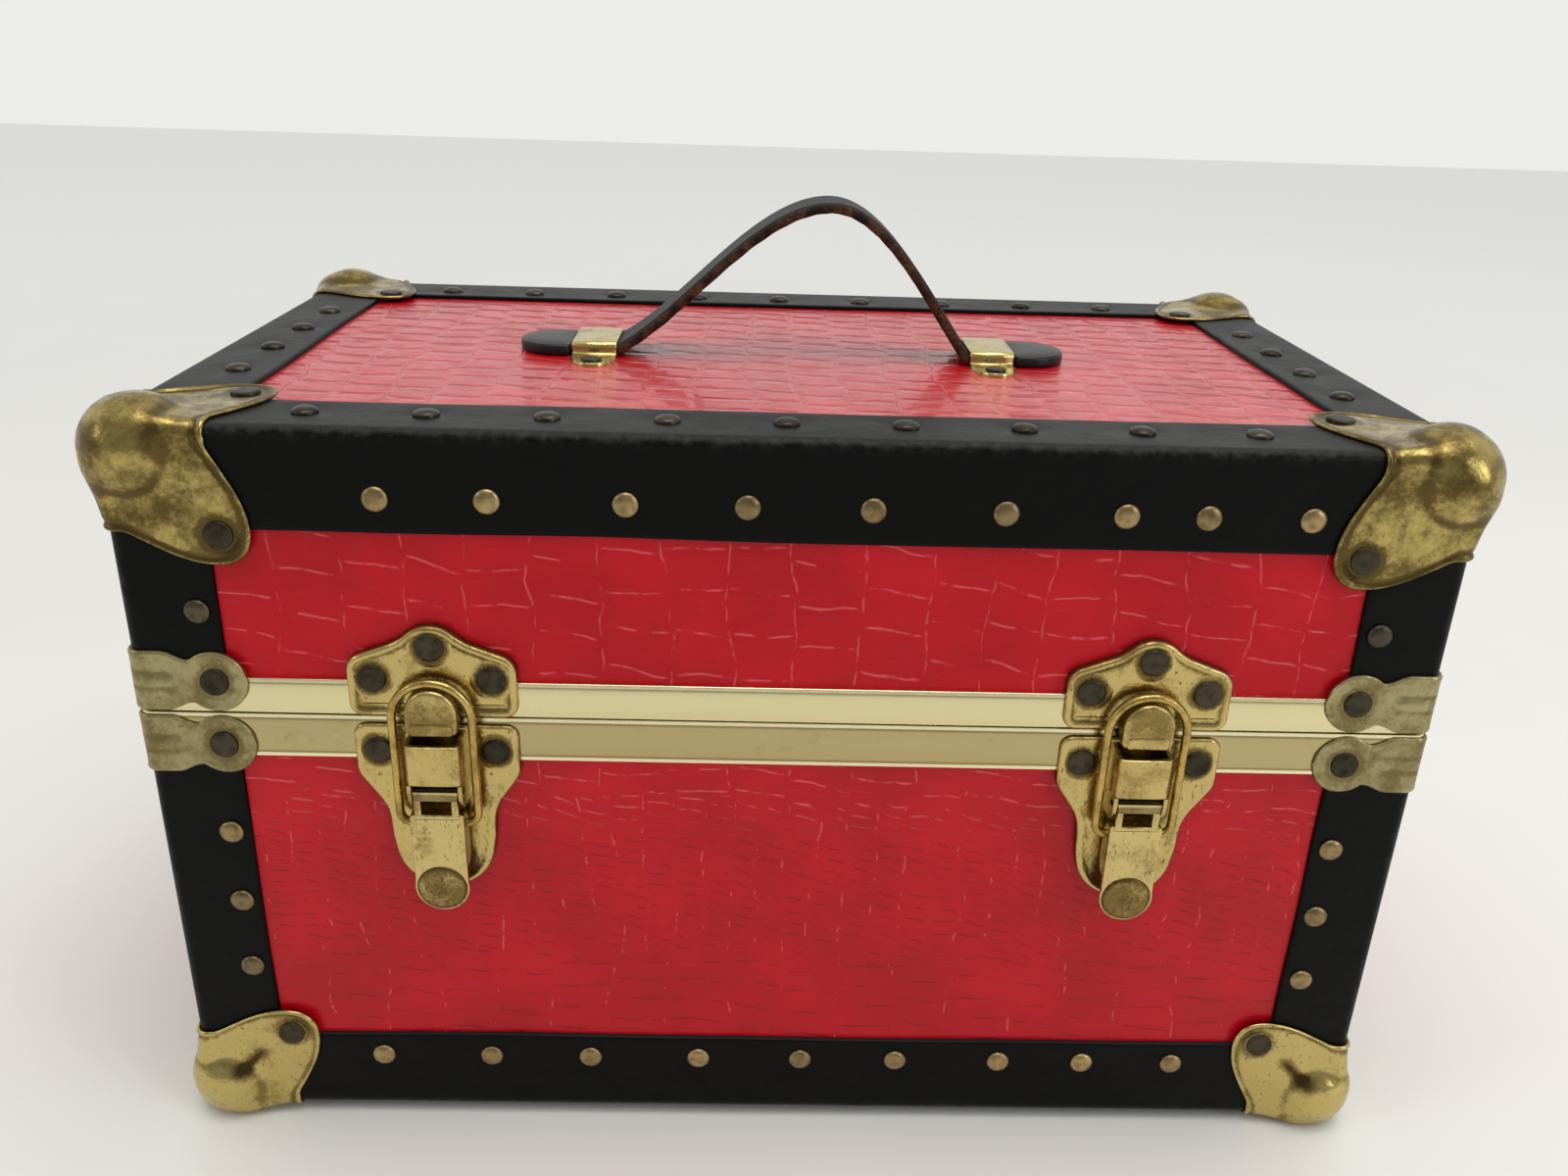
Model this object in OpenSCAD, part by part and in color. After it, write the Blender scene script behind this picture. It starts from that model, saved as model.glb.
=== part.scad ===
// Small trunk-style jewellery case: hinged lid, two draw latches, strap handle, lift-out tray.
// Millimetres. +Z up, front towards -Y, X to the right as seen from the front.
// Origin: centre of the footprint, on the plane the four corner feet stand on.

/* [Case] */
// Width over the edge bindings
case_w = 356; // [320:1:400]
// Depth over the edge bindings
case_d = 207; // [190:1:240]
// Height over the edge bindings
case_h = 220; // [205:1:250]
// Height of the lid seam above the bottom binding
seam_h = 139; // [125:1:145]
// Thickness of the board panels with their vinyl
panel_t = 5; // [4:0.5:7]
// Thickness of the fabric lining
lining_t = 1; // [0.8:0.1:1.5]

/* [Edge binding] */
// Thickness of the binding
bind_t = 1.5; // [1:0.1:2]
// Reach of the top and bottom bindings down or up the walls
bind_wall = 28; // [22:1:30]
// Reach of the top and bottom bindings across the flat faces
bind_flat = 26; // [20:1:30]
// Reach of the upright bindings across each wall
bind_upright = 25.5; // [20:0.5:28]
// Rounding of the case edges
edge_r = 3; // [2.5:0.1:4]

/* [Seam rails] */
// Height of the lid rail
lid_rail_h = 10.6; // [9:0.1:13]
// Height of the base rail
base_rail_h = 13.2; // [11:0.1:15]

/* [Corners] */
// Radius of the ball at each corner
ball_r = 14; // [12:0.5:16]
// How far the ball stands out of the binding
ball_out = 6; // [5:0.1:6.5]
// Distance of each lobe rivet from both edges
lobe_rivet = 29; // [27:0.5:31]
// Radius of the round end of each lobe
lobe_r = 8.3; // [7.5:0.1:9]
// Sheet thickness of the brass corner pieces
sheet_t = 0.9; // [0.7:0.1:1.2]

/* [Latches] */
// Distance of each latch from the middle
latch_x = 97.5; // [80:0.5:110]
// Width of the catch plates
catch_w = 45.6; // [44:0.2:48]
// Sheet thickness of the catch plates
plate_t = 1.4; // [1.2:0.1:1.6]
// Wire diameter of the bail
wire_d = 2.4; // [2:0.1:2.6]
// Outer width of the bail
bail_w = 24; // [23:0.5:25]

/* [Handle] */
// Distance of each handle loop from the middle
loop_x = 63; // [58:0.5:68]
// Width of the leather strap
strap_w = 21.5; // [18:0.5:24]
// Thickness of the leather strap
strap_t = 3.2; // [2.8:0.1:3.6]
// Height of the strap's crown above the lid panel
crown_h = 49; // [35:1:55]
// Sideways place of the strap's crown
crown_x = 10.5; // [-15:0.5:15]

/* [Tray] */
// Height of the lift-out tray
tray_h = 37; // [30:1:40]
// Thickness of the tray walls
tray_wall = 4; // [3:0.5:5]

/* [Hidden] */
$fn = 48;
rail_fn = 64;
tiny = 0.02;
foot_h = 3;
bottom_z = foot_h;
top_z = bottom_z + case_h;
seam_z = bottom_z + seam_h;
hinge_out = 4;
stop_reach = 6.2;
latch_out = 9.4;
back_out = hinge_out + stop_reach;
mid_y = (latch_out - back_out) / 2;
front_y = mid_y - case_d / 2;
back_y = mid_y + case_d / 2;
side_x = case_w / 2;

// layers, counted inwards from the outside of the binding
panel_in = bind_t;
lining_in = panel_in + panel_t;
room_in = lining_in + lining_t;
floor_z = bottom_z + lining_in;
roof_z = top_z - lining_in;

// seam
seam_gap = 0.4;
base_rim_z = seam_z - seam_gap / 2;
lid_rim_z = seam_z + seam_gap / 2;
base_web_t = 1.2;
lid_web_t = 3.6;
inner_lip = 9;
tongue_in = 3;
tongue_t = 1.2;
tongue_h = 2.5;
groove_play = 0.4;
tongue_back_gap = 14;

// rivets
trim_rivet_r = 3.45;
trim_rivet_h = 1.3;
plate_rivet_r = 3.95;
plate_rivet_h = 0.7;
row_count = 9;
row_top_z = top_z - 18.5;
row_bottom_z = bottom_z + 20.3;
row_top_x = [-109.5, 133.7];
row_top_drift = [1, -1, 4, 5, 7, 11, 12, 3, 0];
row_bottom_x = [-122, 122.8];
row_bottom_drift = [0, 2.5, 2.3, 5, 6, 5, 6.7, 2.4, 0];
row_even_x = [-129, 122];
row_even = [0, 0, 0, 0, 0, 0, 0, 0, 0];
flat_row_in = 15.5;
column_count = 4;
column_pitch = 29;
upright_in = 20;
upright_base_z = [56.5, 80, 103.5];
upright_lid_z = 172;

// clamps over the ends of the seam rails
clamp_h = 17.6;
clamp_mid = 9.6;
clamp_rivet = 22.2;
clamp_lobe_r = 8.8;
clamp_flat = 14.5;
clamp_waist = 6.4;

// latch, measured from its centre line, the seam and the outside of the binding
keeper_rivets = [[0, 21.4], [-16, 12], [16, 12]];
lower_rivets = [[-16.1, -10], [16.1, -10]];
keeper_low = 0.5;
lower_top = -2;
boss_r = 7.2;
boss_mid = 3.5;
boss_low = -3;
boss_out = 6.4;
boss_back = 2.2;
fulcrum_up = -19.8;
fulcrum_out = 6;
bar_up = -31;
bar_out = 4.5;
pin_r = 1.1;
pin_play = 0.05;
knuckle_r = 1.9;
lever_w = 15;
lever_t = 1.1;
lever_face = fulcrum_out + knuckle_r;
lever_neck = 12.2;
tab_r = 7.75;
tab_up = -50.6;
bridge_top = -5;
leg_t = 1.1;
bail_top = 13.6;

// hinge, measured from its centre line, the seam and the hinge axis
hinge_x = latch_x;
leaf_w = 32;
leaf_h = 26;
leaf_t = 1.2;
leaf_clear = 4;
barrel_r = 3;
hinge_pin_r = 1.4;
barrel_count = 5;
barrel_len = 6;
barrel_gap = 0.3;
barrel_clear = 0.4;
stop_angle = 105;

// handle
lid_face = top_z - panel_in;
band_t = 0.9;
band_w = 14;
loop_play = 0.35;
loop_span = strap_w + 2 * loop_play;
loop_top = strap_t + 2 * loop_play;
foot_len = 14;
foot_r = 6;
foot_t = 1;
foot_rivet_in = 5.5;
foot_rivet_r = 3.2;
foot_rivet_y = loop_span / 2 + foot_len - foot_rivet_in;
paddle_w = 24.5;
paddle_len = 17;
paddle_t = 3.8;
strap_mid = strap_t / 2 + loop_play;
strap_end = loop_x + band_w / 2 + 0.5;
arch_from = -56;
arch_to = 55.2;
arch_steps = 20;

// tray
tray_play = 1.5;
tray_in = room_in + tray_play;
tray_z = 96.3;
tray_floor = 3;
cleat = 7.5;
cleat_len = 150;
roll_r = 8.4;
roll_count = 7;
roll_play = 0.3;
roll_up = 10;
roll_pad_t = 8;
divider_t = 2.5;
divider_drop = 4;
pull_w = 14;
pull_t = 1.5;
pull_from = 16;
pull_low = 14;

// colours
red = [0.72, 0.07, 0.13];
black = [0.08, 0.08, 0.09];
gold = [0.84, 0.79, 0.56];
brass = [0.62, 0.53, 0.28];
bronze = [0.30, 0.27, 0.22];
wood = [0.66, 0.52, 0.34];
velvet = [0.55, 0.10, 0.16];

// ---- places ----

// local x right, y up, z out of the wall; the wall's outside is z = 0
module on_front(x, z) translate([x, front_y, z]) rotate([90, 0, 0]) children();
module on_back(x, z) translate([x, back_y, z]) rotate([90, 0, 180]) children();
module on_right(y, z) translate([side_x, y, z]) rotate([90, 0, 90]) children();
module on_left(y, z) translate([-side_x, y, z]) rotate([90, 0, -90]) children();
module on_top(x, y) translate([x, y, top_z]) children();

// local corner: the case fills the +x +y +z octant
module at_corner(right, back, top)
    translate([right ? side_x : -side_x, back ? back_y : front_y, top ? top_z : bottom_z])
    mirror([right ? 1 : 0, 0, 0])
    mirror([0, back ? 1 : 0, 0])
    mirror([0, 0, top ? 1 : 0])
    children();

module each_upright()
    for (right = [false, true], back = [false, true])
        at_corner(right, back, false) children();

// a box inset by the same amount from every upright side of the case
module inner_box(inset, z0, z1)
    translate([-side_x + inset, front_y + inset, z0])
    cube([case_w - 2 * inset, case_d - 2 * inset, z1 - z0]);

module rounded_rect(w, h, r) {
    translate([r, 0]) square([w - 2 * r, h]);
    translate([0, r]) square([w, h - 2 * r]);
    for (x = [r, w - r], y = [r, h - r])
        translate([x, y]) circle(r, $fn = rail_fn);
}

module case_prism(z0, z1)
    translate([-side_x, front_y, z0])
    linear_extrude(z1 - z0) rounded_rect(case_w, case_d, edge_r);

module case_block() intersection() {
    case_prism(bottom_z, top_z);
    translate([-side_x, back_y, bottom_z])
        rotate([90, 0, 0]) linear_extrude(case_d) rounded_rect(case_w, case_h, edge_r);
    translate([-side_x, front_y, bottom_z])
        rotate([90, 0, 90]) linear_extrude(case_w) rounded_rect(case_d, case_h, edge_r);
}

// ---- corner caps ----

ball_in = ball_r - ball_out;
ball_hollow = ball_r - sheet_t;
ball_pad_t = 1.2;

// what the corners of boards and binding lose to make room for the ball
module corner_relief() difference() {
    translate([-1, -1, -1]) cube(ball_in + 1);
    translate([ball_in, ball_in, ball_in]) sphere(ball_hollow - 0.1);
}

module corner_reliefs()
    for (right = [false, true], back = [false, true], top = [false, true])
        at_corner(right, back, top) corner_relief();

module octant_section(out, len) {
    translate([edge_r, -out]) square([len, len + out]);
    translate([-out, edge_r]) square([len + out, len]);
    translate([edge_r, edge_r]) circle(edge_r + out, $fn = rail_fn);
}

module octant(out, len) intersection() {
    translate([0, 0, -out]) linear_extrude(len) octant_section(out, len);
    translate([0, len, 0]) rotate([90, 0, 0]) linear_extrude(len + out) octant_section(out, len);
    translate([-out, 0, 0]) rotate([90, 0, 90]) linear_extrude(len) octant_section(out, len);
}

module lobe_half() polygon([
    [-2, -2], [28.5, -2], [28.5, 2.5], [27, 7], [30.2, 13.5],
    [lobe_rivet + lobe_r * cos(17), lobe_rivet - lobe_r * sin(17)],
    [lobe_rivet, lobe_rivet]
]);

module lobe_outline() {
    lobe_half();
    mirror([1, -1]) lobe_half();
    translate([lobe_rivet, lobe_rivet]) circle(lobe_r);
}

module lobe_prism() translate([0, 0, -2]) linear_extrude(edge_r + 2.5) lobe_outline();

module cap_shape() {
    fit = 0.05;
    len = 44;
    intersection() {
        difference() {
            octant(sheet_t, len);
            octant(fit, len + 2);
            translate([-5, -5, -5]) cube(ball_in + 5);
        }
        union() {
            lobe_prism();
            mirror([0, 1, -1]) lobe_prism();
            mirror([1, 0, -1]) lobe_prism();
        }
    }
    difference() {
        translate([ball_in, ball_in, ball_in]) sphere(ball_r, $fn = rail_fn);
        difference() {
            octant(fit, len);
            corner_relief();
        }
        translate([ball_in, ball_in, ball_in]) sphere(ball_hollow, $fn = rail_fn);
    }
}

// the ball of a base corner is pressed flat underneath and closed by a pad the case stands on
module base_cap(right, back) color(brass) at_corner(right, back, false) {
    difference() {
        cap_shape();
        translate([-10, -10, -foot_h - 10]) cube([30, 30, 10]);
    }
    intersection() {
        translate([ball_in, ball_in, ball_in]) sphere(ball_r - 0.2, $fn = rail_fn);
        translate([-10, -10, -foot_h]) cube([40, 40, ball_pad_t]);
    }
}

module lid_cap(right, back) color(brass) at_corner(right, back, true) cap_shape();

module base_front_left_cap() base_cap(false, false);
module base_front_right_cap() base_cap(true, false);
module base_back_left_cap() base_cap(false, true);
module base_back_right_cap() base_cap(true, true);
module lid_front_left_cap() lid_cap(false, false);
module lid_front_right_cap() lid_cap(true, false);
module lid_back_left_cap() lid_cap(false, true);
module lid_back_right_cap() lid_cap(true, true);

// ---- panels ----

module wall_panel(front_or_back, far, z0, z1) color(red) difference() {
    len = front_or_back ? case_w - 2 * panel_in : case_d - 2 * lining_in;
    if (front_or_back)
        translate([-len / 2, far ? back_y - lining_in : front_y + panel_in, z0])
            cube([len, panel_t, z1 - z0]);
    else
        translate([far ? side_x - lining_in : -side_x + panel_in, mid_y - len / 2, z0])
            cube([panel_t, len, z1 - z0]);
    corner_reliefs();
}

module flat_panel(z0, z1) color(red) difference() {
    inner_box(panel_in, z0, z1);
    corner_reliefs();
}

base_wall_top = base_rim_z - base_web_t;
lid_wall_low = lid_rim_z + lid_web_t;
module base_front_panel() wall_panel(true, false, floor_z, base_wall_top);
module base_back_panel() wall_panel(true, true, floor_z, base_wall_top);
module base_left_panel() wall_panel(false, false, floor_z, base_wall_top);
module base_right_panel() wall_panel(false, true, floor_z, base_wall_top);
module base_bottom_panel() flat_panel(bottom_z + panel_in, floor_z);
module lid_front_panel() wall_panel(true, false, lid_wall_low, roof_z);
module lid_back_panel() wall_panel(true, true, lid_wall_low, roof_z);
module lid_left_panel() wall_panel(false, false, lid_wall_low, roof_z);
module lid_right_panel() wall_panel(false, true, lid_wall_low, roof_z);
module lid_top_panel() flat_panel(roof_z, top_z - panel_in);

// ---- seam rails ----

// a channel that caps the board edge: outer lip, web at the seam, inner lip
module rail(z0, z1, web_low, web_high, lip_low, lip_high) difference() {
    case_prism(z0, z1);
    inner_box(room_in, z0 - 1, z1 + 1);
    difference() {
        inner_box(panel_in, z0 - 1, z1 + 1);
        inner_box(0, web_low, web_high);
        inner_box(lining_in, lip_low, lip_high);
    }
}

module ring(inset, t, z0, z1) difference() {
    inner_box(inset, z0, z1);
    inner_box(inset + t, z0 - 1, z1 + 1);
}

module base_rail() color(gold) {
    low = seam_z - base_rail_h;
    rail(low, base_rim_z, base_wall_top, base_rim_z, base_rim_z - inner_lip, base_rim_z);
    difference() {
        ring(tongue_in, tongue_t, base_rim_z - tiny, base_rim_z + tongue_h);
        translate([-case_w, back_y - tongue_back_gap, 0]) cube([2 * case_w, case_d, 2 * case_h]);
    }
}

module lid_rail() color(gold) difference() {
    high = seam_z + lid_rail_h;
    rail(lid_rim_z, high, lid_rim_z, lid_wall_low, lid_rim_z, lid_rim_z + inner_lip);
    ring(
        tongue_in - groove_play, tongue_t + 2 * groove_play,
        lid_rim_z - 1, base_rim_z + tongue_h + groove_play
    );
}

// ---- bindings ----

module binding_wrap() difference() {
    case_block();
    inner_box(bind_t, bottom_z + bind_t, top_z - bind_t);
    inner_box(bind_flat, 0, 2 * case_h);
    low = bottom_z + bind_wall;
    tall = case_h - 2 * bind_wall;
    translate([-side_x + bind_upright, -case_d, low])
        cube([case_w - 2 * bind_upright, 2 * case_d, tall]);
    translate([-case_w, front_y + bind_upright, low])
        cube([2 * case_w, case_d - 2 * bind_upright, tall]);
    corner_reliefs();
}

// plan wedge that keeps one of four mitred strips; the mitres stay a hair apart
module mitre_wedge(along_x, far) {
    reach = 9;
    hair = 0.05;
    half = case_d / 2;
    away = far ? 1 : -1;
    translate([0, mid_y, -1]) linear_extrude(2 * case_h)
    if (along_x)
        polygon([
            [-side_x + half, away * hair], [side_x - half, away * hair],
            [side_x + reach, away * (half + reach + hair)],
            [-side_x - reach, away * (half + reach + hair)]
        ]);
    else
        polygon([
            [away * (side_x - half + hair), 0],
            [away * (side_x + reach + hair), half + reach],
            [away * (side_x + reach + hair), -half - reach]
        ]);
}

module binding_band(z0, z1)
    for (along_x = [false, true], far = [false, true])
        intersection() {
            binding_wrap();
            inner_box(-1, z0, z1);
            mitre_wedge(along_x, far);
        }

module upright_binding(z0, z1) intersection() {
    binding_wrap();
    inner_box(-1, z0, z1);
}

base_band_top = bottom_z + bind_wall;
lid_band_low = top_z - bind_wall;
module base_bottom_binding() color(black) binding_band(0, base_band_top);
module lid_top_binding() color(black) binding_band(lid_band_low, 2 * case_h);
module base_upright_binding() color(black)
    upright_binding(base_band_top + tiny, seam_z - base_rail_h);
module lid_upright_binding() color(black)
    upright_binding(seam_z + lid_rail_h, lid_band_low - tiny);

// ---- clamps ----

module clamp_outline() {
    translate([-2, -clamp_h / 2]) square([clamp_flat + 2, clamp_h]);
    translate([0, -clamp_waist]) square([clamp_rivet - 2, 2 * clamp_waist]);
    translate([clamp_rivet, 0]) circle(clamp_lobe_r);
}

module clamp_sheet(len) difference() {
    linear_extrude(clamp_h + 4, center = true) octant_section(sheet_t, len);
    linear_extrude(clamp_h + 6, center = true) octant_section(0.05, len + 2);
}

module clamp() intersection() {
    clamp_sheet(clamp_rivet + clamp_lobe_r + 4);
    union() {
        translate([0, edge_r + 2, 0]) rotate([90, 0, 0])
            linear_extrude(edge_r + 4) clamp_outline();
        translate([-2, 0, 0]) rotate([90, 0, 90]) linear_extrude(edge_r + 4) clamp_outline();
    }
}

module clamps(z) color(brass) each_upright() translate([0, 0, z - bottom_z]) clamp();
module base_clamps() clamps(seam_z - clamp_mid);
module lid_clamps() clamps(seam_z + clamp_mid);

// ---- rivets ----

// a low dome standing on z = 0
module rivet(r, h) intersection() {
    ball = (r * r + h * h) / (2 * h);
    translate([0, 0, h - ball]) sphere(ball);
    cylinder(r = r + 1, h = h + 1);
}
module trim_rivet() rivet(trim_rivet_r, trim_rivet_h);
module plate_rivet() cylinder(r1 = plate_rivet_r, r2 = plate_rivet_r - 0.6, h = plate_rivet_h);

function row_place(span, drift, i) =
    span[0] + (span[1] - span[0]) * i / (row_count - 1) + drift[i];

function column_place(i) = mid_y + (i - (column_count - 1) / 2) * column_pitch;

module wall_rivets(z, span, drift) {
    for (i = [0 : row_count - 1]) {
        on_front(row_place(span, drift, i), z) trim_rivet();
        on_back(row_place(span, row_even, i), z) trim_rivet();
    }
    for (i = [0 : column_count - 1]) {
        on_left(column_place(i), z) trim_rivet();
        on_right(column_place(i), z) trim_rivet();
    }
}

module upright_rivets(z)
    each_upright() {
        translate([upright_in, 0, z - bottom_z]) rotate([90, 0, 0]) trim_rivet();
        translate([0, upright_in, z - bottom_z]) rotate([0, -90, 0]) trim_rivet();
    }

module base_trim_rivets() color(bronze) {
    wall_rivets(row_bottom_z, row_bottom_x, row_bottom_drift);
    for (z = upright_base_z) upright_rivets(z);
}

module lid_trim_rivets() color(bronze) {
    wall_rivets(row_top_z, row_top_x, row_top_drift);
    upright_rivets(upright_lid_z);
    for (i = [0 : row_count - 1], y = [front_y + flat_row_in, back_y - flat_row_in])
        on_top(row_place(row_even_x, row_even, i), y) trim_rivet();
    for (i = [0 : column_count - 1], side = [-1, 1])
        on_top(side * (side_x - flat_row_in), column_place(i)) trim_rivet();
}

module cap_rivets(top)
    for (right = [false, true], back = [false, true]) at_corner(right, back, top) {
        translate([lobe_rivet, lobe_rivet, -sheet_t]) mirror([0, 0, 1]) plate_rivet();
        translate([lobe_rivet, -sheet_t, lobe_rivet]) rotate([90, 0, 0]) plate_rivet();
        translate([-sheet_t, lobe_rivet, lobe_rivet]) rotate([0, -90, 0]) plate_rivet();
    }

module clamp_rivets(z)
    each_upright() {
        translate([clamp_rivet, -sheet_t, z - bottom_z]) rotate([90, 0, 0]) plate_rivet();
        translate([-sheet_t, clamp_rivet, z - bottom_z]) rotate([0, -90, 0]) plate_rivet();
    }

module latch_rivets(places)
    for (side = [-1, 1], p = places)
        on_front(side * latch_x + p[0], seam_z + p[1]) translate([0, 0, plate_t]) plate_rivet();

leaf_rivets = [[-10, 16], [10, 16]];
module leaf_rivet_set(up)
    for (side = [-1, 1], p = leaf_rivets)
        on_back(side * hinge_x + p[0], seam_z + up * p[1]) translate([0, 0, leaf_t]) plate_rivet();

module base_plate_rivets() color(bronze) {
    difference() {
        cap_rivets(false);
        translate([-case_w, -case_w, -10]) cube([2 * case_w, 2 * case_w, 10]);
    }
    clamp_rivets(seam_z - clamp_mid);
    latch_rivets(lower_rivets);
    leaf_rivet_set(-1);
}

module lid_plate_rivets() color(bronze) {
    cap_rivets(true);
    clamp_rivets(seam_z + clamp_mid);
    latch_rivets(keeper_rivets);
    leaf_rivet_set(1);
    for (side = [-1, 1], front = [-1, 1])
        translate([side * loop_x, mid_y + front * foot_rivet_y, lid_face + foot_t])
            cylinder(r1 = foot_rivet_r, r2 = foot_rivet_r - 0.5, h = plate_rivet_h);
}

// ---- latch ----

module latch_at(side) on_front(side * latch_x, seam_z) children();

module mirrored_x() {
    children();
    mirror([1, 0]) children();
}

// bell: square shoulders, then sides sweeping up to a round crown
module keeper_outline() mirrored_x() {
    translate([0, keeper_low]) square([catch_w / 2 - 4, 18]);
    translate([0, keeper_low + 4]) square([catch_w / 2, 10]);
    translate([catch_w / 2 - 4, keeper_low + 4]) circle(4);
    translate([catch_w / 2 - 6, keeper_low + 14]) circle(6);
    polygon([
        [0, 10], [19, 19.6], [15.8, 21.1], [11.6, 23.4], [8.5, 25.6], [6.2, 27.1], [0, 28]
    ]);
    translate([0, 19.6]) circle(9.2);
}

// shield: square shoulders, then sides drawing in to a round tip
module lower_outline() mirrored_x() {
    translate([0, -20]) square([22.5, 20 + lower_top - 4]);
    translate([0, -20]) square([18.5, 20 + lower_top]);
    translate([18.5, lower_top - 4]) circle(4);
    polygon([
        [0, -18], [22.5, -18], [21, -23], [18.4, -28], [16.6, -34], [15.2, -40], [13.2, -45.4],
        [0, -45.4]
    ]);
    translate([0, -41]) circle(13.9);
}

// the plate, thickened to reach the panel wherever it is past the rail
module stepped_plate(rail_reach) difference() {
    translate([0, 0, -panel_in]) linear_extrude(panel_in + plate_t) children();
    translate([-40, rail_reach[0], -panel_in - 1])
        cube([80, rail_reach[1] - rail_reach[0], panel_in + 1]);
}

module latch_keeper(side) color(brass) latch_at(side) {
    stepped_plate([-1, lid_rail_h]) keeper_outline();
    intersection() {
        translate([0, 0, plate_t - tiny]) linear_extrude(boss_out - plate_t + tiny) {
            translate([0, boss_mid]) circle(boss_r);
            translate([-boss_r, boss_low + 2]) square([2 * boss_r, boss_mid - boss_low - 2]);
            translate([2 - boss_r, boss_low]) square([2 * boss_r - 4, 6]);
            for (x = [-1, 1]) translate([x * (boss_r - 2), boss_low + 2]) circle(2);
        }
        union() {
            translate([-20, keeper_low, 0]) cube([40, 40, 20]);
            translate([-20, -20, boss_back]) cube([40, 40, 20]);
        }
    }
}
module left_latch_keeper() latch_keeper(-1);
module right_latch_keeper() latch_keeper(1);

// ears run down from a bridge and carry the lever's pin
module latch_plate(side) color(brass) latch_at(side) {
    stepped_plate([-base_rail_h, 0]) lower_outline();
    ear_low = fulcrum_up - 6.2;
    difference() {
        translate([-lever_w / 2, ear_low, plate_t - tiny])
            cube([lever_w, bridge_top - ear_low, lever_face + 0.4 - plate_t + tiny]);
        translate([-lever_w / 2 + leg_t, ear_low - 1, plate_t - 1])
            cube([lever_w - 2 * leg_t, bridge_top - ear_low, lever_face - 0.8 - plate_t + 1]);
        translate([-lever_w / 2 + leg_t, ear_low - 1, plate_t - 1])
            cube([lever_w - 2 * leg_t, fulcrum_up + knuckle_r + 0.4 - ear_low + 1, 20]);
        translate([-lever_w, fulcrum_up, fulcrum_out])
            rotate([0, 90, 0]) cylinder(r = pin_r + 0.01, h = 2 * lever_w);
    }
}
module left_latch_plate() latch_plate(-1);
module right_latch_plate() latch_plate(1);

module latch_pins() color(brass)
    for (side = [-1, 1]) latch_at(side)
        translate([-lever_w / 2, fulcrum_up, fulcrum_out])
            rotate([0, 90, 0]) cylinder(r = pin_r, h = lever_w);

module lever(side) color(brass) latch_at(side) difference() {
    wide_top = fulcrum_up - 7.2;
    union() {
        translate([-lever_neck / 2, fulcrum_up, fulcrum_out])
            rotate([0, 90, 0]) cylinder(r = knuckle_r, h = lever_neck);
        translate([-lever_neck / 2, wide_top - 2, lever_face - lever_t])
            cube([lever_neck, fulcrum_up - wide_top + 2, lever_t]);
        translate([-lever_w / 2, tab_up, lever_face - lever_t])
            cube([lever_w, wide_top - tab_up, lever_t]);
        for (x = [-lever_w / 2, lever_w / 2 - lever_t])
            translate([x, tab_up + 6, 2.4])
                cube([lever_t, wide_top - tab_up - 6, lever_face - 2.4]);
        translate([0, tab_up, lever_face - lever_t]) cylinder(r = tab_r, h = lever_t);
        translate([0, tab_up, lever_face]) rivet(tab_r - 0.4, latch_out - lever_face);
    }
    translate([-lever_w, fulcrum_up, fulcrum_out])
        rotate([0, 90, 0]) cylinder(r = pin_r + pin_play, h = 2 * lever_w);
    translate([-lever_w, bar_up, bar_out])
        rotate([0, 90, 0]) cylinder(r = wire_d / 2 + pin_play, h = 2 * lever_w);
    translate([-4.2, fulcrum_up - 7, lever_face - lever_t - 1]) cube([8.4, 4.6, 4]);
}
module left_lever() lever(-1);
module right_lever() lever(1);

// closed wire loop: half-round over the boss, straight sides, bar through the lever
module bail(side) color(brass) latch_at(side) translate([0, 0, bar_out]) {
    r = wire_d / 2;
    half = bail_w / 2 - r;
    bend = 3.4;
    crown = bail_top - r - half;
    translate([0, crown]) rotate_extrude(angle = 180) translate([half, 0]) circle(r);
    for (x = [-half, half])
        translate([x, bar_up + bend, 0]) rotate([-90, 0, 0]) cylinder(r = r, h = crown - bar_up - bend);
    translate([half - bend, bar_up + bend])
        rotate([0, 0, -90]) rotate_extrude(angle = 90) translate([bend, 0]) circle(r);
    translate([bend - half, bar_up + bend])
        rotate([0, 0, 180]) rotate_extrude(angle = 90) translate([bend, 0]) circle(r);
    translate([bend - half, bar_up, 0]) rotate([0, 90, 0]) cylinder(r = r, h = 2 * (half - bend));
}
module left_bail() bail(-1);
module right_bail() bail(1);

// ---- hinges ----

// local frame of one hinge: x along the axis, y up from the seam, z out from the wall
module hinge_at(side) on_back(side * hinge_x, seam_z) children();

function barrel_x(i) = (i - barrel_count / 2) * barrel_len;

module barrels(first) difference() {
    union() {
        for (i = [first : 2 : barrel_count - 1])
            translate([barrel_x(i) + barrel_gap / 2, 0, hinge_out])
                rotate([0, 90, 0]) cylinder(r = barrel_r, h = barrel_len - barrel_gap);
        children();
    }
    for (i = [0 : barrel_count - 1])
        if ((i - first) % 2 != 0)
            translate([barrel_x(i) - barrel_gap / 2, 0, hinge_out]) rotate([0, 90, 0])
                cylinder(r = barrel_r + barrel_clear, h = barrel_len + barrel_gap);
}

module leaf_bore(play)
    translate([-leaf_w, 0, hinge_out]) rotate([0, 90, 0])
        cylinder(r = hinge_pin_r + play, h = 2 * leaf_w);

// the flat leaf, with webs next to the seam that join it to its barrels
module leaf_sheet(low, high, web_low) {
    translate([-leaf_w / 2, low, 0]) cube([leaf_w, high - low, leaf_t]);
    for (i = [0 : barrel_count - 1])
        translate([barrel_x(i) + barrel_gap / 2, web_low, 0])
            cube([barrel_len - barrel_gap, leaf_clear, hinge_out - 1]);
}

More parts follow.
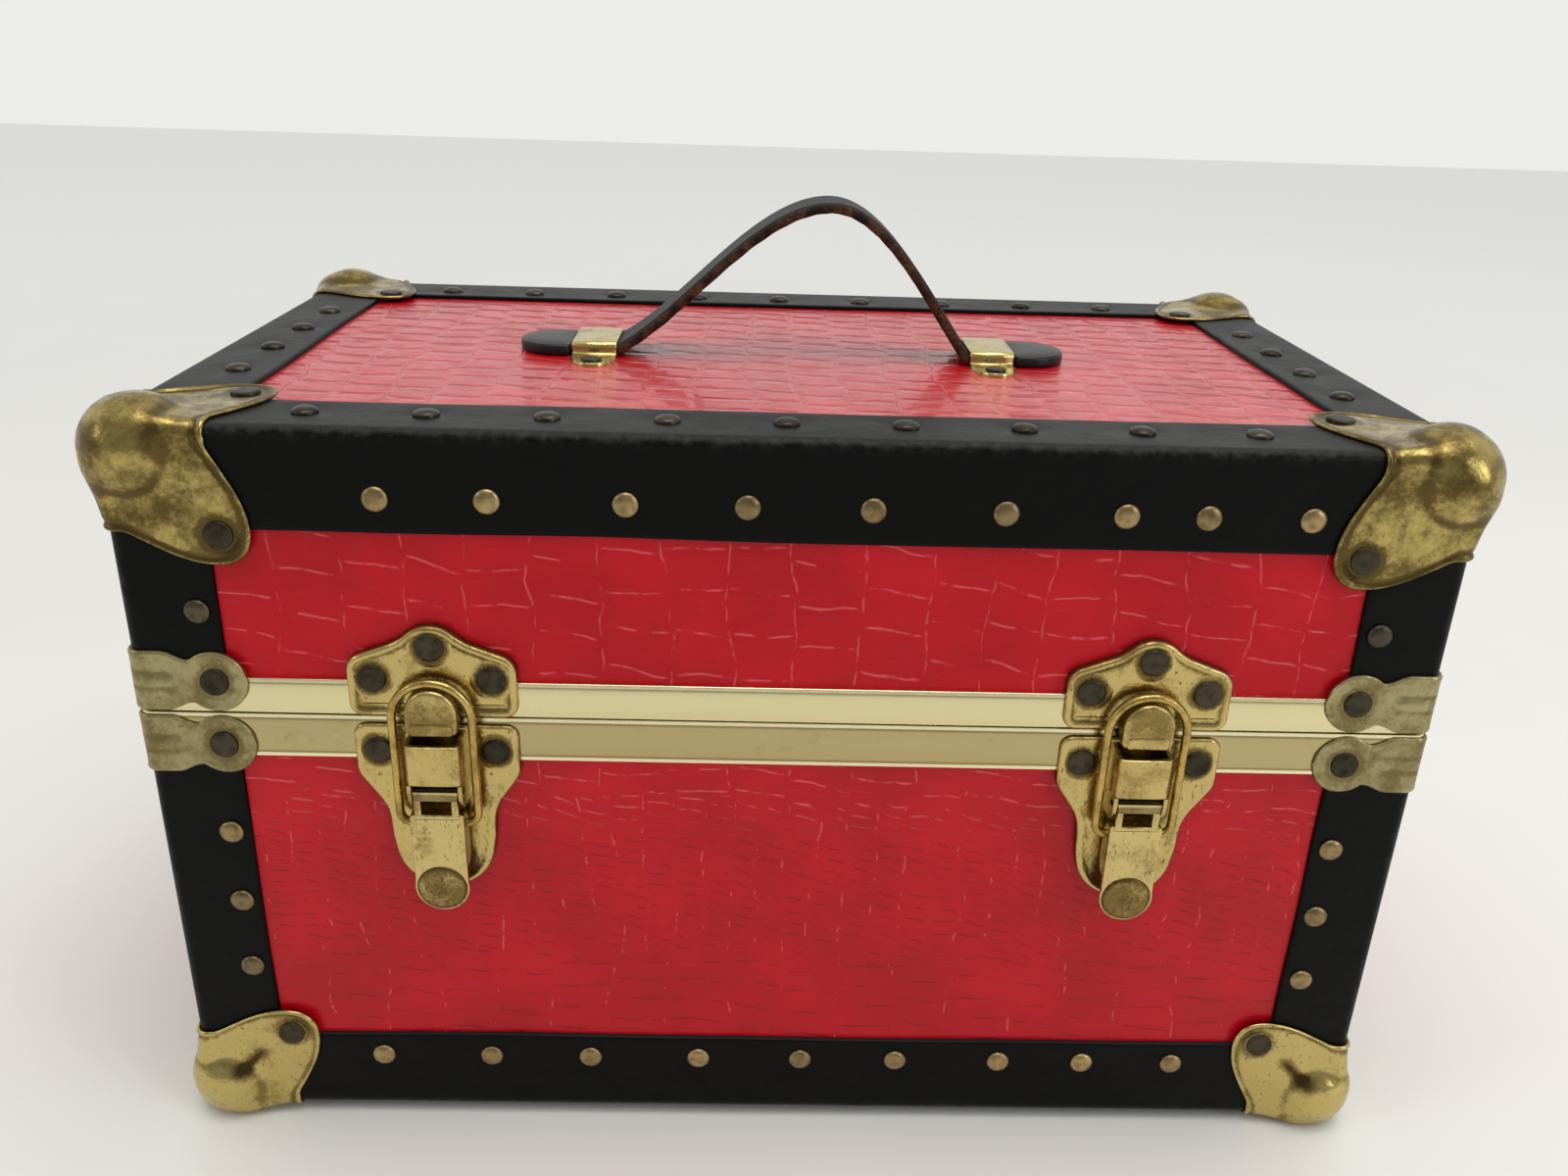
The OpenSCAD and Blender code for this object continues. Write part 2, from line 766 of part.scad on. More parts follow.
module hinge_base_leaf(side) color(brass) hinge_at(side) difference() {
    barrels(0) {
        leaf_sheet(-leaf_h, -leaf_clear, -leaf_clear);
        // shelf that stops the lid's leaf when the lid is fully open
        translate([-barrel_len / 2, 0, 0]) rotate([90, 0, 90]) linear_extrude(barrel_len)
            stop_profile();
    }
    leaf_bore(0.01);
}

module stop_profile() {
    lip = 1.6;
    top = -barrel_r - 0.6;
    face = hinge_out + stop_reach;
    rise = (hinge_out - leaf_t) / sin(stop_angle) + (stop_reach - 0.1) / tan(stop_angle);
    polygon([
        [top - lip, 0], [top - lip, face], [rise - 0.35, face],
        [rise + 0.07, face - lip], [top, face - lip], [top, 0]
    ]);
}

module hinge_lid_leaf(side) color(brass) hinge_at(side) difference() {
    barrels(1) leaf_sheet(leaf_clear, leaf_h, 0);
    leaf_bore(pin_play);
}
module left_hinge_base_leaf() hinge_base_leaf(-1);
module right_hinge_base_leaf() hinge_base_leaf(1);
module left_hinge_lid_leaf() hinge_lid_leaf(-1);
module right_hinge_lid_leaf() hinge_lid_leaf(1);

module hinge_pins() color(bronze)
    for (side = [-1, 1]) hinge_at(side)
        translate([barrel_x(0), 0, hinge_out])
            rotate([0, 90, 0]) cylinder(r = hinge_pin_r, h = barrel_count * barrel_len);

// ---- handle ----

// brass band folded over the strap, with a foot riveted down at each end
module handle_loop(side) color(brass) translate([side * loop_x, mid_y, lid_face]) {
    half = loop_span / 2;
    translate([-band_w / 2, -half - band_t, loop_top])
        cube([band_w, loop_span + 2 * band_t, band_t]);
    for (front = [-1, 1]) {
        translate([-band_w / 2, front > 0 ? half : -half - band_t, 0])
            cube([band_w, band_t, loop_top + tiny]);
        translate([0, front * (half + foot_len - foot_r), 0]) cylinder(r = foot_r, h = foot_t);
        translate([-band_w / 2, front > 0 ? half + band_t - tiny : -half - 5, 0])
            cube([band_w, 5 - band_t + tiny, foot_t]);
        translate([-foot_r, front > 0 ? half + 4 : -half - foot_len + foot_r, 0])
            cube([2 * foot_r, foot_len - foot_r - 4, foot_t]);
    }
}
module left_handle_loop() handle_loop(-1);
module right_handle_loop() handle_loop(1);

// height of the strap's centre line above its flats
function swell(t, fullness) =
    fullness * sin(90 * t) + (1 - fullness) * (3 * t * t - 2 * t * t * t);
function arch_height(x) =
    (crown_h - strap_mid - strap_t / 2) * (
        x < crown_x
            ? swell((x - arch_from) / (crown_x - arch_from), 0.5)
            : swell((arch_to - x) / (arch_to - crown_x), 0.88)
    );
function arch_slope(x) = (arch_height(x + 0.05) - arch_height(x - 0.05)) * 10;
function arch_x(i) =
    i <= arch_steps
        ? arch_from + (crown_x - arch_from) * i / arch_steps
        : crown_x + (arch_to - crown_x) * (i - arch_steps) / arch_steps;
function arch_point(x, away) =
    [x, arch_height(x)] + away * [-arch_slope(x), 1] / norm([arch_slope(x), 1]);
inner_steps = [1 : 2 * arch_steps - 1];

module strap_section() polygon(concat(
    [[-strap_end, strap_t / 2], [arch_from, strap_t / 2]],
    [for (i = inner_steps) arch_point(arch_x(i), strap_t / 2)],
    [[arch_to, strap_t / 2], [strap_end, strap_t / 2]],
    [[strap_end, -strap_t / 2], [arch_to + 1, -strap_t / 2]],
    [for (i = inner_steps) arch_point(arch_x(2 * arch_steps - i), -strap_t / 2)],
    [[arch_from - 1, -strap_t / 2], [-strap_end, -strap_t / 2]]
));

module handle_strap() color([0.14, 0.10, 0.08])
    translate([0, mid_y + strap_w / 2, lid_face + strap_mid])
    rotate([90, 0, 0]) linear_extrude(strap_w) strap_section();

// half-round end, too wide to pull back through the loop
module paddle(side) color(black)
    translate([side * (strap_end + 0.15), mid_y, lid_face + 0.3])
    mirror([side > 0 ? 0 : 1, 0, 0]) intersection() {
        translate([paddle_len - paddle_w / 2, 0, 0]) {
            cylinder(r = paddle_w / 2, h = paddle_t);
            translate([-paddle_w, -paddle_w / 2, 0]) cube([paddle_w, paddle_w, paddle_t]);
        }
        translate([0, -paddle_w, -1]) cube([2 * paddle_w, 2 * paddle_w, paddle_t + 2]);
    }
module left_paddle() paddle(-1);
module right_paddle() paddle(1);

// ---- inside ----

module base_lining() color(velvet) difference() {
    inner_box(lining_in, floor_z, base_rim_z - inner_lip - 0.2);
    inner_box(room_in, floor_z + lining_t, seam_z);
}

module lid_lining() color(velvet) difference() {
    inner_box(lining_in, lid_rim_z + inner_lip + 0.2, roof_z);
    inner_box(room_in, seam_z, roof_z - lining_t);
}

module tray_cleats() color(wood)
    for (side = [0, 1]) mirror([side, 0, 0])
        translate([-side_x + room_in, mid_y - cleat_len / 2, tray_z - 0.3 - cleat])
            cube([cleat, cleat_len, cleat]);

tray_w = case_w - 2 * tray_in;
tray_d = case_d - 2 * tray_in;
tray_top = tray_z + tray_h;

module tray_frame() color(wood) difference() {
    inner_box(tray_in, tray_z, tray_top);
    inner_box(tray_in + tray_wall, tray_z + tray_floor, tray_top + 1);
}

divider_h = tray_h - tray_floor - divider_drop;
long_divider_off = 4;
long_divider_y = mid_y + long_divider_off;
module tray_dividers() color(wood) translate([0, 0, tray_z + tray_floor]) {
    inside_x = tray_w / 2 - tray_wall;
    inside_back = mid_y + tray_d / 2 - tray_wall;
    inside_front = mid_y - tray_d / 2 + tray_wall;
    translate([-inside_x, long_divider_y - divider_t / 2, 0])
        cube([2 * inside_x, divider_t, divider_h]);
    for (x = [-inside_x / 3, inside_x / 3])
        translate([x - divider_t / 2, long_divider_y, 0])
            cube([divider_t, inside_back - long_divider_y, divider_h]);
    translate([-divider_t / 2, inside_front, 0])
        cube([divider_t, long_divider_y - inside_front, divider_h]);
}

// padded rolls that grip rings between them
module tray_ring_rolls() color(velvet) {
    inside_left = -tray_w / 2 + tray_wall;
    inside_front = mid_y - tray_d / 2 + tray_wall;
    len = long_divider_y - divider_t / 2 - inside_front - 2 * roll_play;
    pitch = (-divider_t / 2 - inside_left - 2 * roll_play) / roll_count;
    translate([inside_left + roll_play, inside_front + roll_play, tray_z + tray_floor]) {
        translate([0, 0, 0.1]) cube([roll_count * pitch, len, roll_pad_t]);
        for (i = [0 : roll_count - 1])
            translate([(i + 0.5) * pitch, 0, roll_up])
                rotate([-90, 0, 0]) cylinder(r = roll_r, h = len);
    }
}

module tray_pull_tabs() color(black)
    for (side = [0, 1]) mirror([side, 0, 0])
        translate([
            -tray_w / 2 + tray_wall, long_divider_y + pull_from, tray_z + tray_floor + pull_low
        ]) {
            tall = tray_h - tray_floor - pull_low;
            cube([pull_t, pull_w, tall]);
            translate([0, pull_w / 2, tall]) rotate([0, 90, 0]) cylinder(r = pull_w / 2, h = pull_t);
        }

// ---- what is drawn ----

base_front_panel();
base_back_panel();
base_left_panel();
base_right_panel();
base_bottom_panel();
base_rail();
base_bottom_binding();
base_upright_binding();
base_front_left_cap();
base_front_right_cap();
base_back_left_cap();
base_back_right_cap();
base_clamps();
base_trim_rivets();
base_plate_rivets();
left_latch_plate();
right_latch_plate();
latch_pins();
left_hinge_base_leaf();
right_hinge_base_leaf();
hinge_pins();
base_lining();
tray_cleats();
lid_front_panel();
lid_back_panel();
lid_left_panel();
lid_right_panel();
lid_top_panel();
lid_rail();
lid_top_binding();
lid_upright_binding();
lid_front_left_cap();
lid_front_right_cap();
lid_back_left_cap();
lid_back_right_cap();
lid_clamps();
lid_trim_rivets();
lid_plate_rivets();
left_latch_keeper();
right_latch_keeper();
left_hinge_lid_leaf();
right_hinge_lid_leaf();
lid_lining();
left_handle_loop();
right_handle_loop();
handle_strap();
left_lever();
right_lever();
left_bail();
right_bail();
left_paddle();
right_paddle();
tray_frame();
tray_dividers();
tray_ring_rolls();
tray_pull_tabs();
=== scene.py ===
"""Looks of the trunk-style jewellery case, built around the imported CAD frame. Lengths are in millimetres."""

import math
import random

import bmesh
import bpy
import numpy as np
from mathutils import Matrix, Vector


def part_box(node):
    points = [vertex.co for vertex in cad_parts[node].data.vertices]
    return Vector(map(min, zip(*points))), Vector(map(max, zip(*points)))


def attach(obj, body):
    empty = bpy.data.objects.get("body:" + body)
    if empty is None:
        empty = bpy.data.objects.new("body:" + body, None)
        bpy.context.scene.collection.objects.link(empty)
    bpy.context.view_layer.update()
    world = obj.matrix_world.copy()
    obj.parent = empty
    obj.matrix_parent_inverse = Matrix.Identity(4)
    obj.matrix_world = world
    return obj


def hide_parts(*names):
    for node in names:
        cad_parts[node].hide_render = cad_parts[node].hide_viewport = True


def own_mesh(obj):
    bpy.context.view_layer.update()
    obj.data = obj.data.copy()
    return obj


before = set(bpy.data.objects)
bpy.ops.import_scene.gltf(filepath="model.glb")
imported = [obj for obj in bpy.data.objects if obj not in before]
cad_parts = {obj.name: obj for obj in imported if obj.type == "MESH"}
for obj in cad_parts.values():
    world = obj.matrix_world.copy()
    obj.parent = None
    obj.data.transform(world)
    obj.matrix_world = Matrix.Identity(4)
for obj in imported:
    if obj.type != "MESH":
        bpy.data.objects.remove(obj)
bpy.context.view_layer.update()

MM = 0.001
rng = random.Random(7)

# ---- driving numbers, as in the CAD source ----

EDGE_R = 3.0
BIND_FLAT, BIND_WALL, BIND_UPRIGHT = 26.0, 28.0, 25.5
RAIL_OVER_PANEL, SEAM_GAP = 1.2, 0.4
SHEET_T = 0.9
BALL_R, BALL_IN, FOOT_H = 14.0, 8.0, 3.0
LOBE_RIVET, LOBE_R = 29.0, 8.3
CLAMP_RIVET, CLAMP_OFF_SEAM = 22.2, 9.6
LATCH_X, PLATE_T = 97.5, 1.4
KEEPER_RIVETS = [(0, 21.4), (-16, 12), (16, 12)]
SHIELD_RIVETS = [(-16.1, -10), (16.1, -10)]
HINGE_RIVET_X, HINGE_RIVET_Z, LEAF_T = 10, 16, 1.2
LOOP_X, LOOP_FOOT, LOOP_FOOT_R, LOOP_FOOT_RIVET = 63.0, 14.0, 6.0, 5.5
STRAP_W, STRAP_T, LOOP_PLAY = 21.5, 3.2, 0.35
# rows of trim rivets: distance in from the case's edge, and heights of the upright ones
TOP_ROW_IN, BOTTOM_ROW_IN, FLAT_ROW_IN, UPRIGHT_IN = 18.5, 20.3, 15.5, 20.0
LID_UPRIGHT_Z, BASE_UPRIGHT_Z = [172], [56.5, 80, 103.5]

# ---- measures taken from the frame ----


def box_mm(node):
    low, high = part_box(node)
    return low / MM, high / MM


band_low, band_high = box_mm("base_bottom_binding")
lid_low, lid_high = box_mm("lid_top_binding")
side_x, front_y, back_y = band_high.x, band_low.y, band_high.y
bottom_z, top_z = band_low.z, lid_high.z
mid_y = (front_y + back_y) / 2
base_rim_z = box_mm("base_front_panel")[1].z + RAIL_OVER_PANEL
seam_z = base_rim_z + SEAM_GAP / 2
base_rail_low = box_mm("base_upright_binding")[1].z
lid_rail_high = box_mm("lid_upright_binding")[0].z
lid_face = box_mm("lid_top_panel")[1].z


def row(first, last, drift):
    """Nine rivet places from first to last, each off the even spacing by its drift."""
    return [first + (last - first) * i / 8 + d for i, d in enumerate(drift)]


EVEN_ROW = row(-129, 122, [0] * 9)
TOP_FRONT_ROW = row(-109.5, 133.7, (1, -1, 4, 5, 7, 11, 12, 3, 0))
BOTTOM_FRONT_ROW = row(-122, 122.8, (0, 2.5, 2.3, 5, 6, 5, 6.7, 2.4, 0))
SIDE_ROW = [mid_y + (i - 1.5) * 29 for i in range(4)]

# ---- material helpers ----


class Paint:
    """A node material whose shader is .bsdf; .add makes a node, with sockets set by name or index."""

    def __init__(self, name, rough=0.5, metal=0.0):
        self.mat = bpy.data.materials.new(name)
        self.mat.use_nodes = True
        self.tree = self.mat.node_tree
        self.bsdf = self.tree.nodes["Principled BSDF"]
        self.set("Roughness", rough)
        self.set("Metallic", metal)

    def set(self, name, value):
        if isinstance(value, bpy.types.NodeSocket):
            self.tree.links.new(value, self.bsdf.inputs[name])
        else:
            self.bsdf.inputs[name].default_value = value

    def add(self, kind, inputs=None, out=0, **props):
        node = self.tree.nodes.new("ShaderNode" + kind)
        for key, value in props.items():
            setattr(node, key, value)
        for key, value in (inputs or {}).items():
            socket = node.inputs[key]
            if isinstance(value, bpy.types.NodeSocket):
                self.tree.links.new(value, socket)
            else:
                socket.default_value = value
        return node.outputs[out]

    def math(self, operation, a, b=0.0, c=0.0):
        return self.add("Math", {0: a, 1: b, 2: c}, operation=operation)

    def smooth(self, value, low, high, to_low=0.0, to_high=1.0):
        sockets = {"Value": value, "From Min": low, "From Max": high, "To Min": to_low, "To Max": to_high}
        return self.add("MapRange", sockets, interpolation_type="SMOOTHSTEP")

    def place(self):
        """Object coordinates in millimetres, which are the row frame's at rest."""
        where = self.add("TexCoord", out="Object")
        return self.add("VectorMath", {0: where, "Scale": 1 / MM}, operation="SCALE")

    def scaled(self, where, scale, offset=(0, 0, 0)):
        return self.add("Mapping", {"Vector": where, "Scale": scale, "Location": offset})

    def noise(self, where, scale, detail=3.0, rough=0.55, out="Fac"):
        sockets = {"Vector": where, "Scale": scale, "Detail": detail, "Roughness": rough}
        return self.add("TexNoise", sockets, out=out)

    def mix(self, factor, a, b):
        return self.add("Mix", {0: factor, 6: rgba(a), 7: rgba(b)}, out=2, data_type="RGBA")

    def choose(self, factor, a, b):
        return self.add("Mix", {0: factor, 2: a, 3: b}, data_type="FLOAT")

    def ramp(self, value, *stops):
        node = self.tree.nodes.new("ShaderNodeValToRGB")
        self.tree.links.new(value, node.inputs[0])
        ends = node.color_ramp.elements
        while len(ends) < len(stops):
            ends.new(0.5)
        for end, (at, colour) in zip(ends, stops):
            end.position = at
            end.color = rgba(colour)
        return node.outputs[0]

    def bump(self, height, strength, distance, normal=None):
        sockets = {"Height": height, "Strength": strength, "Distance": distance * MM}
        if normal is not None:
            sockets["Normal"] = normal
        return self.add("Bump", sockets)


def rgba(colour):
    if isinstance(colour, bpy.types.NodeSocket):
        return colour
    return (*colour, 1) if len(colour) == 3 else colour


def srgb(r, g, b):
    """A colour given in 0-255 display values, as linear light."""
    return tuple((c / 255 / 12.92) if c <= 10 else ((c / 255 + 0.055) / 1.055) ** 2.4 for c in (r, g, b))


# ---- materials ----


def croc_vinyl(name, across, up, relief=1.0, coat=0.12, painted_highlight_above=None, small=None, light=None, cell=17.2):
    """Red gloss vinyl embossed with croc plates: columns of wide plates whose rows don't line up.

    Row creases are painted pale above the height painted_highlight_above, a painted highlight, and dark below
    it, a painted shade; without that height they take painted shade all over. Column ticks take the painted
    highlight. small is the (lowest, highest) height of the small round scales of the hide's middle, and cell
    the width of a plate.
    """
    p = Paint(name)
    parts = p.add("SeparateXYZ", {0: p.place()}).node.outputs
    flat = p.add("CombineXYZ", {0: parts["XYZ".index(across)], 1: parts["XYZ".index(up)]})
    warped = flat
    for scale, reach in ((0.02, (16, 14, 0)), (0.14, (2.2, 1.6, 0))):
        cloud = p.noise(flat, scale, 2, out="Color")
        stray = p.add("VectorMath", {0: cloud, 1: (0.5, 0.5, 0.5)}, operation="SUBTRACT")
        warped = p.add("VectorMath", {0: stray, 1: reach, 2: warped}, operation="MULTIPLY_ADD")
    u, v = p.add("SeparateXYZ", {0: warped}).node.outputs[:2]

    def plates(width, height, lean):
        """Distances in millimetres from the nearest column line and from the nearest row line."""
        column = p.math("DIVIDE", u, width)
        own = p.add("TexWhiteNoise", {"W": p.math("FLOOR", column)}, noise_dimensions="1D")
        shift = p.math("MULTIPLY_ADD", p.math("FRACT", column), lean, own)
        row = p.math("ADD", p.math("DIVIDE", v, height), shift)
        side = p.math("MULTIPLY", p.math("PINGPONG", column, 0.5), width)
        return side, p.math("MULTIPLY", p.math("PINGPONG", row, 0.5), height)

    side, level = plates(cell, 7.4 if small else 11.4, 0.16)
    if small:
        ragged = p.math("MULTIPLY_ADD", p.noise(flat, 0.04), 30, -15)
        height = p.math("ADD", parts["XYZ".index(up)], ragged)
        above = p.math("GREATER_THAN", height, small[0])
        inside = p.math("MULTIPLY", above, p.math("LESS_THAN", height, small[1]))
        fine_side, fine_level = plates(8.3, 3.9, 0.5)
        side, level = p.choose(inside, side, fine_side), p.choose(inside, level, fine_level)
    gaps = 0.40 if painted_highlight_above else 0.28
    broken = p.smooth(p.noise(flat, 0.13, 3), gaps, gaps + 0.15)
    elsewhere = p.scaled(flat, (1, 1, 1), (40, 90, 0))
    ticks = p.smooth(p.noise(elsewhere, 0.17, 4), 0.55 if small else 0.44, 0.62)
    rows = p.math("MULTIPLY", p.smooth(side, 0.5, 2.4), broken)
    rows = p.math("MULTIPLY", p.smooth(level, 0.5, 0.06), rows)
    columns = p.math("MULTIPLY", p.smooth(side, 0.42, 0.08), ticks)
    crease = p.math("MAXIMUM", rows, columns)
    dome = p.smooth(p.math("MINIMUM", side, level), 0.0, 2.4)
    pleats = p.smooth(p.noise(p.scaled(warped, (0.09, 0.9, 1)), 1.0, 4, 0.65), 0.5, 0.7)
    raised = p.math("MULTIPLY_ADD", pleats, 0.16, p.math("MULTIPLY", dome, 0.4))
    embossed = p.math("MULTIPLY_ADD", crease, -0.5, raised)
    normal = p.bump(embossed, 0.6 + 0.2 * relief, 0.15 * relief)
    normal = p.bump(p.noise(flat, 0.045, 2), 0.2, 0.5, normal)
    # painted light on the creases: dark is their painted shade, and the pale red on the next line is their
    # painted highlight
    deep, plain, dark = srgb(178, 5, 22), srgb(202, 7, 30), srgb(128, 4, 16)
    painted_highlight = light or srgb(222, 100, 106)
    body = p.mix(p.smooth(p.noise(flat, 0.03, 4), 0.3, 0.75), deep, plain)
    body = p.mix(p.math("MULTIPLY", pleats, 0.22), body, srgb(188, 46, 58))
    # crease rows: painted shade all over when no height is given (the lid top), else painted shade below that
    # height and painted highlight above it
    if painted_highlight_above is None:
        tone = p.mix(p.noise(flat, 0.06), dark, srgb(150, 6, 20))
    else:
        tone = p.mix(p.smooth(parts["XYZ".index(up)], painted_highlight_above - 8, painted_highlight_above + 8), dark, painted_highlight)
    body = p.mix(p.math("MULTIPLY", rows, 0.7), body, tone)
    # column ticks take the painted highlight
    p.set("Base Color", p.mix(p.math("MULTIPLY", columns, 0.6), body, painted_highlight))
    p.set("Roughness", p.math("MULTIPLY_ADD", p.noise(flat, 0.35, 4), 0.14, 0.26))
    p.set("Normal", normal)
    p.set("Specular IOR Level", 0.22)
    p.set("Coat Weight", coat)
    p.set("Coat Roughness", 0.06)
    p.set("Coat Normal", normal)
    return p.mat


def binding_skin():
    """Black leatherette: fine pebble grain; greyer along the case edges, from rub wear and a painted sheen
    there, and painted grey sheen on upward faces.
    """
    p = Paint("binding_skin")
    where = p.place()
    grain = p.add("TexVoronoi", {"Vector": where, "Scale": 1.5, "Randomness": 1.0}, out="Distance")
    pores = p.noise(where, 3.0, 4, 0.7)
    soft = p.noise(where, 0.05, 3)
    height = p.math("MULTIPLY_ADD", grain, 0.5, p.math("MULTIPLY", pores, 0.6))
    wear = p.add("Attribute", attribute_name="wear", out="Fac")
    # greyer along the rounded edges: rub wear, and a painted sheen line
    scuff_and_sheen = p.math("MULTIPLY", wear, p.smooth(p.noise(where, 0.35, 5, 0.65), 0.35, 0.75))
    # painted sheen: upward faces are painted grey for the sheen they catch
    upward = p.add("SeparateXYZ", {0: p.add("TexCoord", out="Normal")}, out=2)
    painted_top_sheen = p.smooth(upward, 0.5, 0.95, 0.0, 0.8)
    body = p.mix(painted_top_sheen, p.mix(soft, srgb(2, 2, 2), srgb(8, 8, 8)), srgb(38, 38, 38))
    p.set("Base Color", p.mix(p.math("MULTIPLY", scuff_and_sheen, 0.5), body, srgb(70, 70, 68)))
    p.set("Roughness", p.math("MULTIPLY_ADD", soft, 0.16, 0.36))
    p.set("Normal", p.bump(soft, 0.35, 2.5, p.bump(height, 0.45, 0.09)))
    p.set("Specular IOR Level", 0.11)
    return p.mat


def metal(
    name, bright, dull, dark, rough, tarnish,
    grain=(0.25, 2.2, 0.6), dents=0.25, specks=0.5, streaks=(1, 1, 1), painted_lip_heights=(),
):
    """Aged metal: cloudy tarnish between two tones, dark in its hollows, specks and streaks, fine scratches.

    A painted highlight line stands in for the light on a rolled lip, with a painted shade line beside it,
    level at each of the heights in painted_lip_heights.
    """
    p = Paint(name, metal=1.0)
    where = p.place()
    clouds = p.noise(where, 0.11, 5, 0.62)
    fine = p.noise(where, 0.9, 5, 0.7)
    wear = p.add("Attribute", attribute_name="wear", out="Fac")
    tone = p.math("MULTIPLY_ADD", clouds, 0.75, p.math("MULTIPLY", fine, 0.3))
    aged = p.smooth(p.math("MULTIPLY_ADD", wear, 0.4, tone), 0.72 - tarnish * 0.5, 0.92 - tarnish * 0.35)
    least = 0.67 - specks * 0.1
    spots = p.smooth(p.noise(p.scaled(where, streaks, (31, 7, 13)), 0.7, 6, 0.75), least, least + 0.05)
    body = p.mix(aged, bright, dull)
    # darker where the mesh's mark is high: patina in hollows, and painted shade at the keeper boss's foot
    grime = p.math("MULTIPLY", wear, p.math("ADD", fine, 0.6))
    body = p.mix(p.smooth(grime, 0.5, 1.05, 0.0, 0.8), body, dark)
    # painted light at each lip: a painted shade line beside it, then a painted highlight on it
    for at in painted_lip_heights:
        level = p.add("SeparateXYZ", {0: where}, out=2)
        off = p.math("ABSOLUTE", p.math("SUBTRACT", level, at))
        body = p.mix(p.smooth(off, 1.7, 0.9, 0.0, 0.55), body, dark)
        body = p.mix(p.smooth(off, 0.8, 0.5), body, srgb(242, 231, 186))
    p.set("Base Color", p.mix(p.math("MULTIPLY", spots, 0.75), body, dark))
    gritty = p.math("MULTIPLY_ADD", aged, 0.16, p.math("MULTIPLY_ADD", fine, 0.14, rough - 0.07))
    p.set("Roughness", p.math("MULTIPLY_ADD", spots, 0.25, gritty))
    scratches = p.noise(p.scaled(where, grain), 1.6, 3, 0.6)
    normal = p.bump(scratches, 0.22, 0.05, p.bump(fine, 0.2, 0.05))
    p.set("Normal", p.bump(p.noise(where, 0.16, 3), dents, 1.6, normal))
    return p.mat


def rivet_metal(name, tones, rough):
    """Each rivet takes its own tone from where it sits."""
    p = Paint(name, metal=1.0)
    where = p.place()
    own = p.add("Attribute", attribute_name="tone", out="Fac")
    clouds = p.noise(where, 0.45, 3, 0.5)
    body = p.ramp(own, *[(i / (len(tones) - 1), t) for i, t in enumerate(tones)])
    worn = p.add("VectorMath", {0: body, "Scale": 0.6}, operation="SCALE")
    p.set("Base Color", p.mix(p.smooth(clouds, 0.4, 0.75), body, worn))
    p.set("Roughness", p.math("MULTIPLY_ADD", clouds, 0.2, rough - 0.1))
    p.set("Normal", p.bump(clouds, 0.3, 0.25))
    return p.mat


def strap_skin():
    """Leather strap: black glazed top, brown fibrous cut edges and underside, told apart by the mark top."""
    p = Paint("strap_skin")
    where = p.place()
    top = p.add("Attribute", attribute_name="top", out="Fac")
    fibre = p.noise(p.scaled(where, (0.5, 1.2, 1.2)), 1.2, 5, 0.7)
    blotch = p.noise(where, 0.22, 4, 0.6)
    raw = p.ramp(fibre, (0.25, srgb(36, 25, 18)), (0.5, srgb(80, 54, 35)), (0.75, srgb(130, 90, 56)))
    raw = p.mix(p.smooth(blotch, 0.4, 0.65), raw, srgb(30, 22, 18))
    glazed = p.mix(blotch, srgb(24, 24, 24), srgb(40, 38, 36))
    p.set("Base Color", p.mix(top, raw, glazed))
    rough = p.math("MULTIPLY_ADD", fibre, 0.2, 0.62)
    p.set("Roughness", p.choose(top, rough, 0.55))
    p.set("Specular IOR Level", 0.2)
    fine = p.bump(p.noise(where, 2.2, 4, 0.7), 0.3, 0.12)
    p.set("Normal", p.bump(p.math("MULTIPLY", fibre, p.math("SUBTRACT", 1.05, top)), 0.8, 0.6, fine))
    return p.mat


def black_leather():
    """Smooth black leather with fine pores."""
    p = Paint("paddle_skin")
    where = p.place()
    pores = p.noise(where, 1.8, 4, 0.7)
    p.set("Base Color", p.mix(p.noise(where, 0.2), srgb(14, 14, 14), srgb(26, 25, 24)))
    p.set("Roughness", p.math("MULTIPLY_ADD", pores, 0.2, 0.3))
    p.set("Normal", p.bump(pores, 0.35, 0.1))
    p.set("Specular IOR Level", 0.3)
    p.set("Coat Weight", 0.08)
    return p.mat


def velvet(name, colour, nap):
    """Flocked lining: short nap with soft brushed patches."""
    p = Paint(name, rough=0.9)
    where = p.place()
    tuft = p.noise(where, 4.0, 4, 0.8)
    brushed = p.noise(p.scaled(where, (0.05, 0.02, 0.03)), 1.0, 4, 0.6)
    shade = p.mix(p.smooth(brushed, 0.35, 0.65), colour, nap)
    p.set("Base Color", p.mix(p.math("MULTIPLY", tuft, 0.5), shade, tuple(c * 0.55 for c in colour)))
    p.set("Normal", p.bump(tuft, 0.5, 0.25))
    p.set("Sheen Weight", 0.5)
    p.set("Sheen Roughness", 0.4)
    p.set("Sheen Tint", (*nap, 1))
    return p.mat


def wood():
    """Pale close-grained board: long grain with fine pores and a thin varnish."""
    p = Paint("tray_wood")
    where = p.place()
    along = p.scaled(where, (0.012, 0.32, 0.32))
    rings = p.noise(along, 1.6, 5, 0.6)
    pores = p.noise(p.scaled(where, (0.12, 2.4, 2.4)), 1.0, 3, 0.7)
    body = p.ramp(rings, (0.3, srgb(138, 98, 58)), (0.5, srgb(176, 134, 86)), (0.7, srgb(200, 160, 108)))
    p.set("Base Color", p.mix(p.smooth(pores, 0.55, 0.75), body, srgb(120, 82, 48)))
    p.set("Roughness", p.math("MULTIPLY_ADD", rings, 0.2, 0.36))
    p.set("Normal", p.bump(pores, 0.3, 0.12))
    return p.mat

# ---- mesh helpers ----

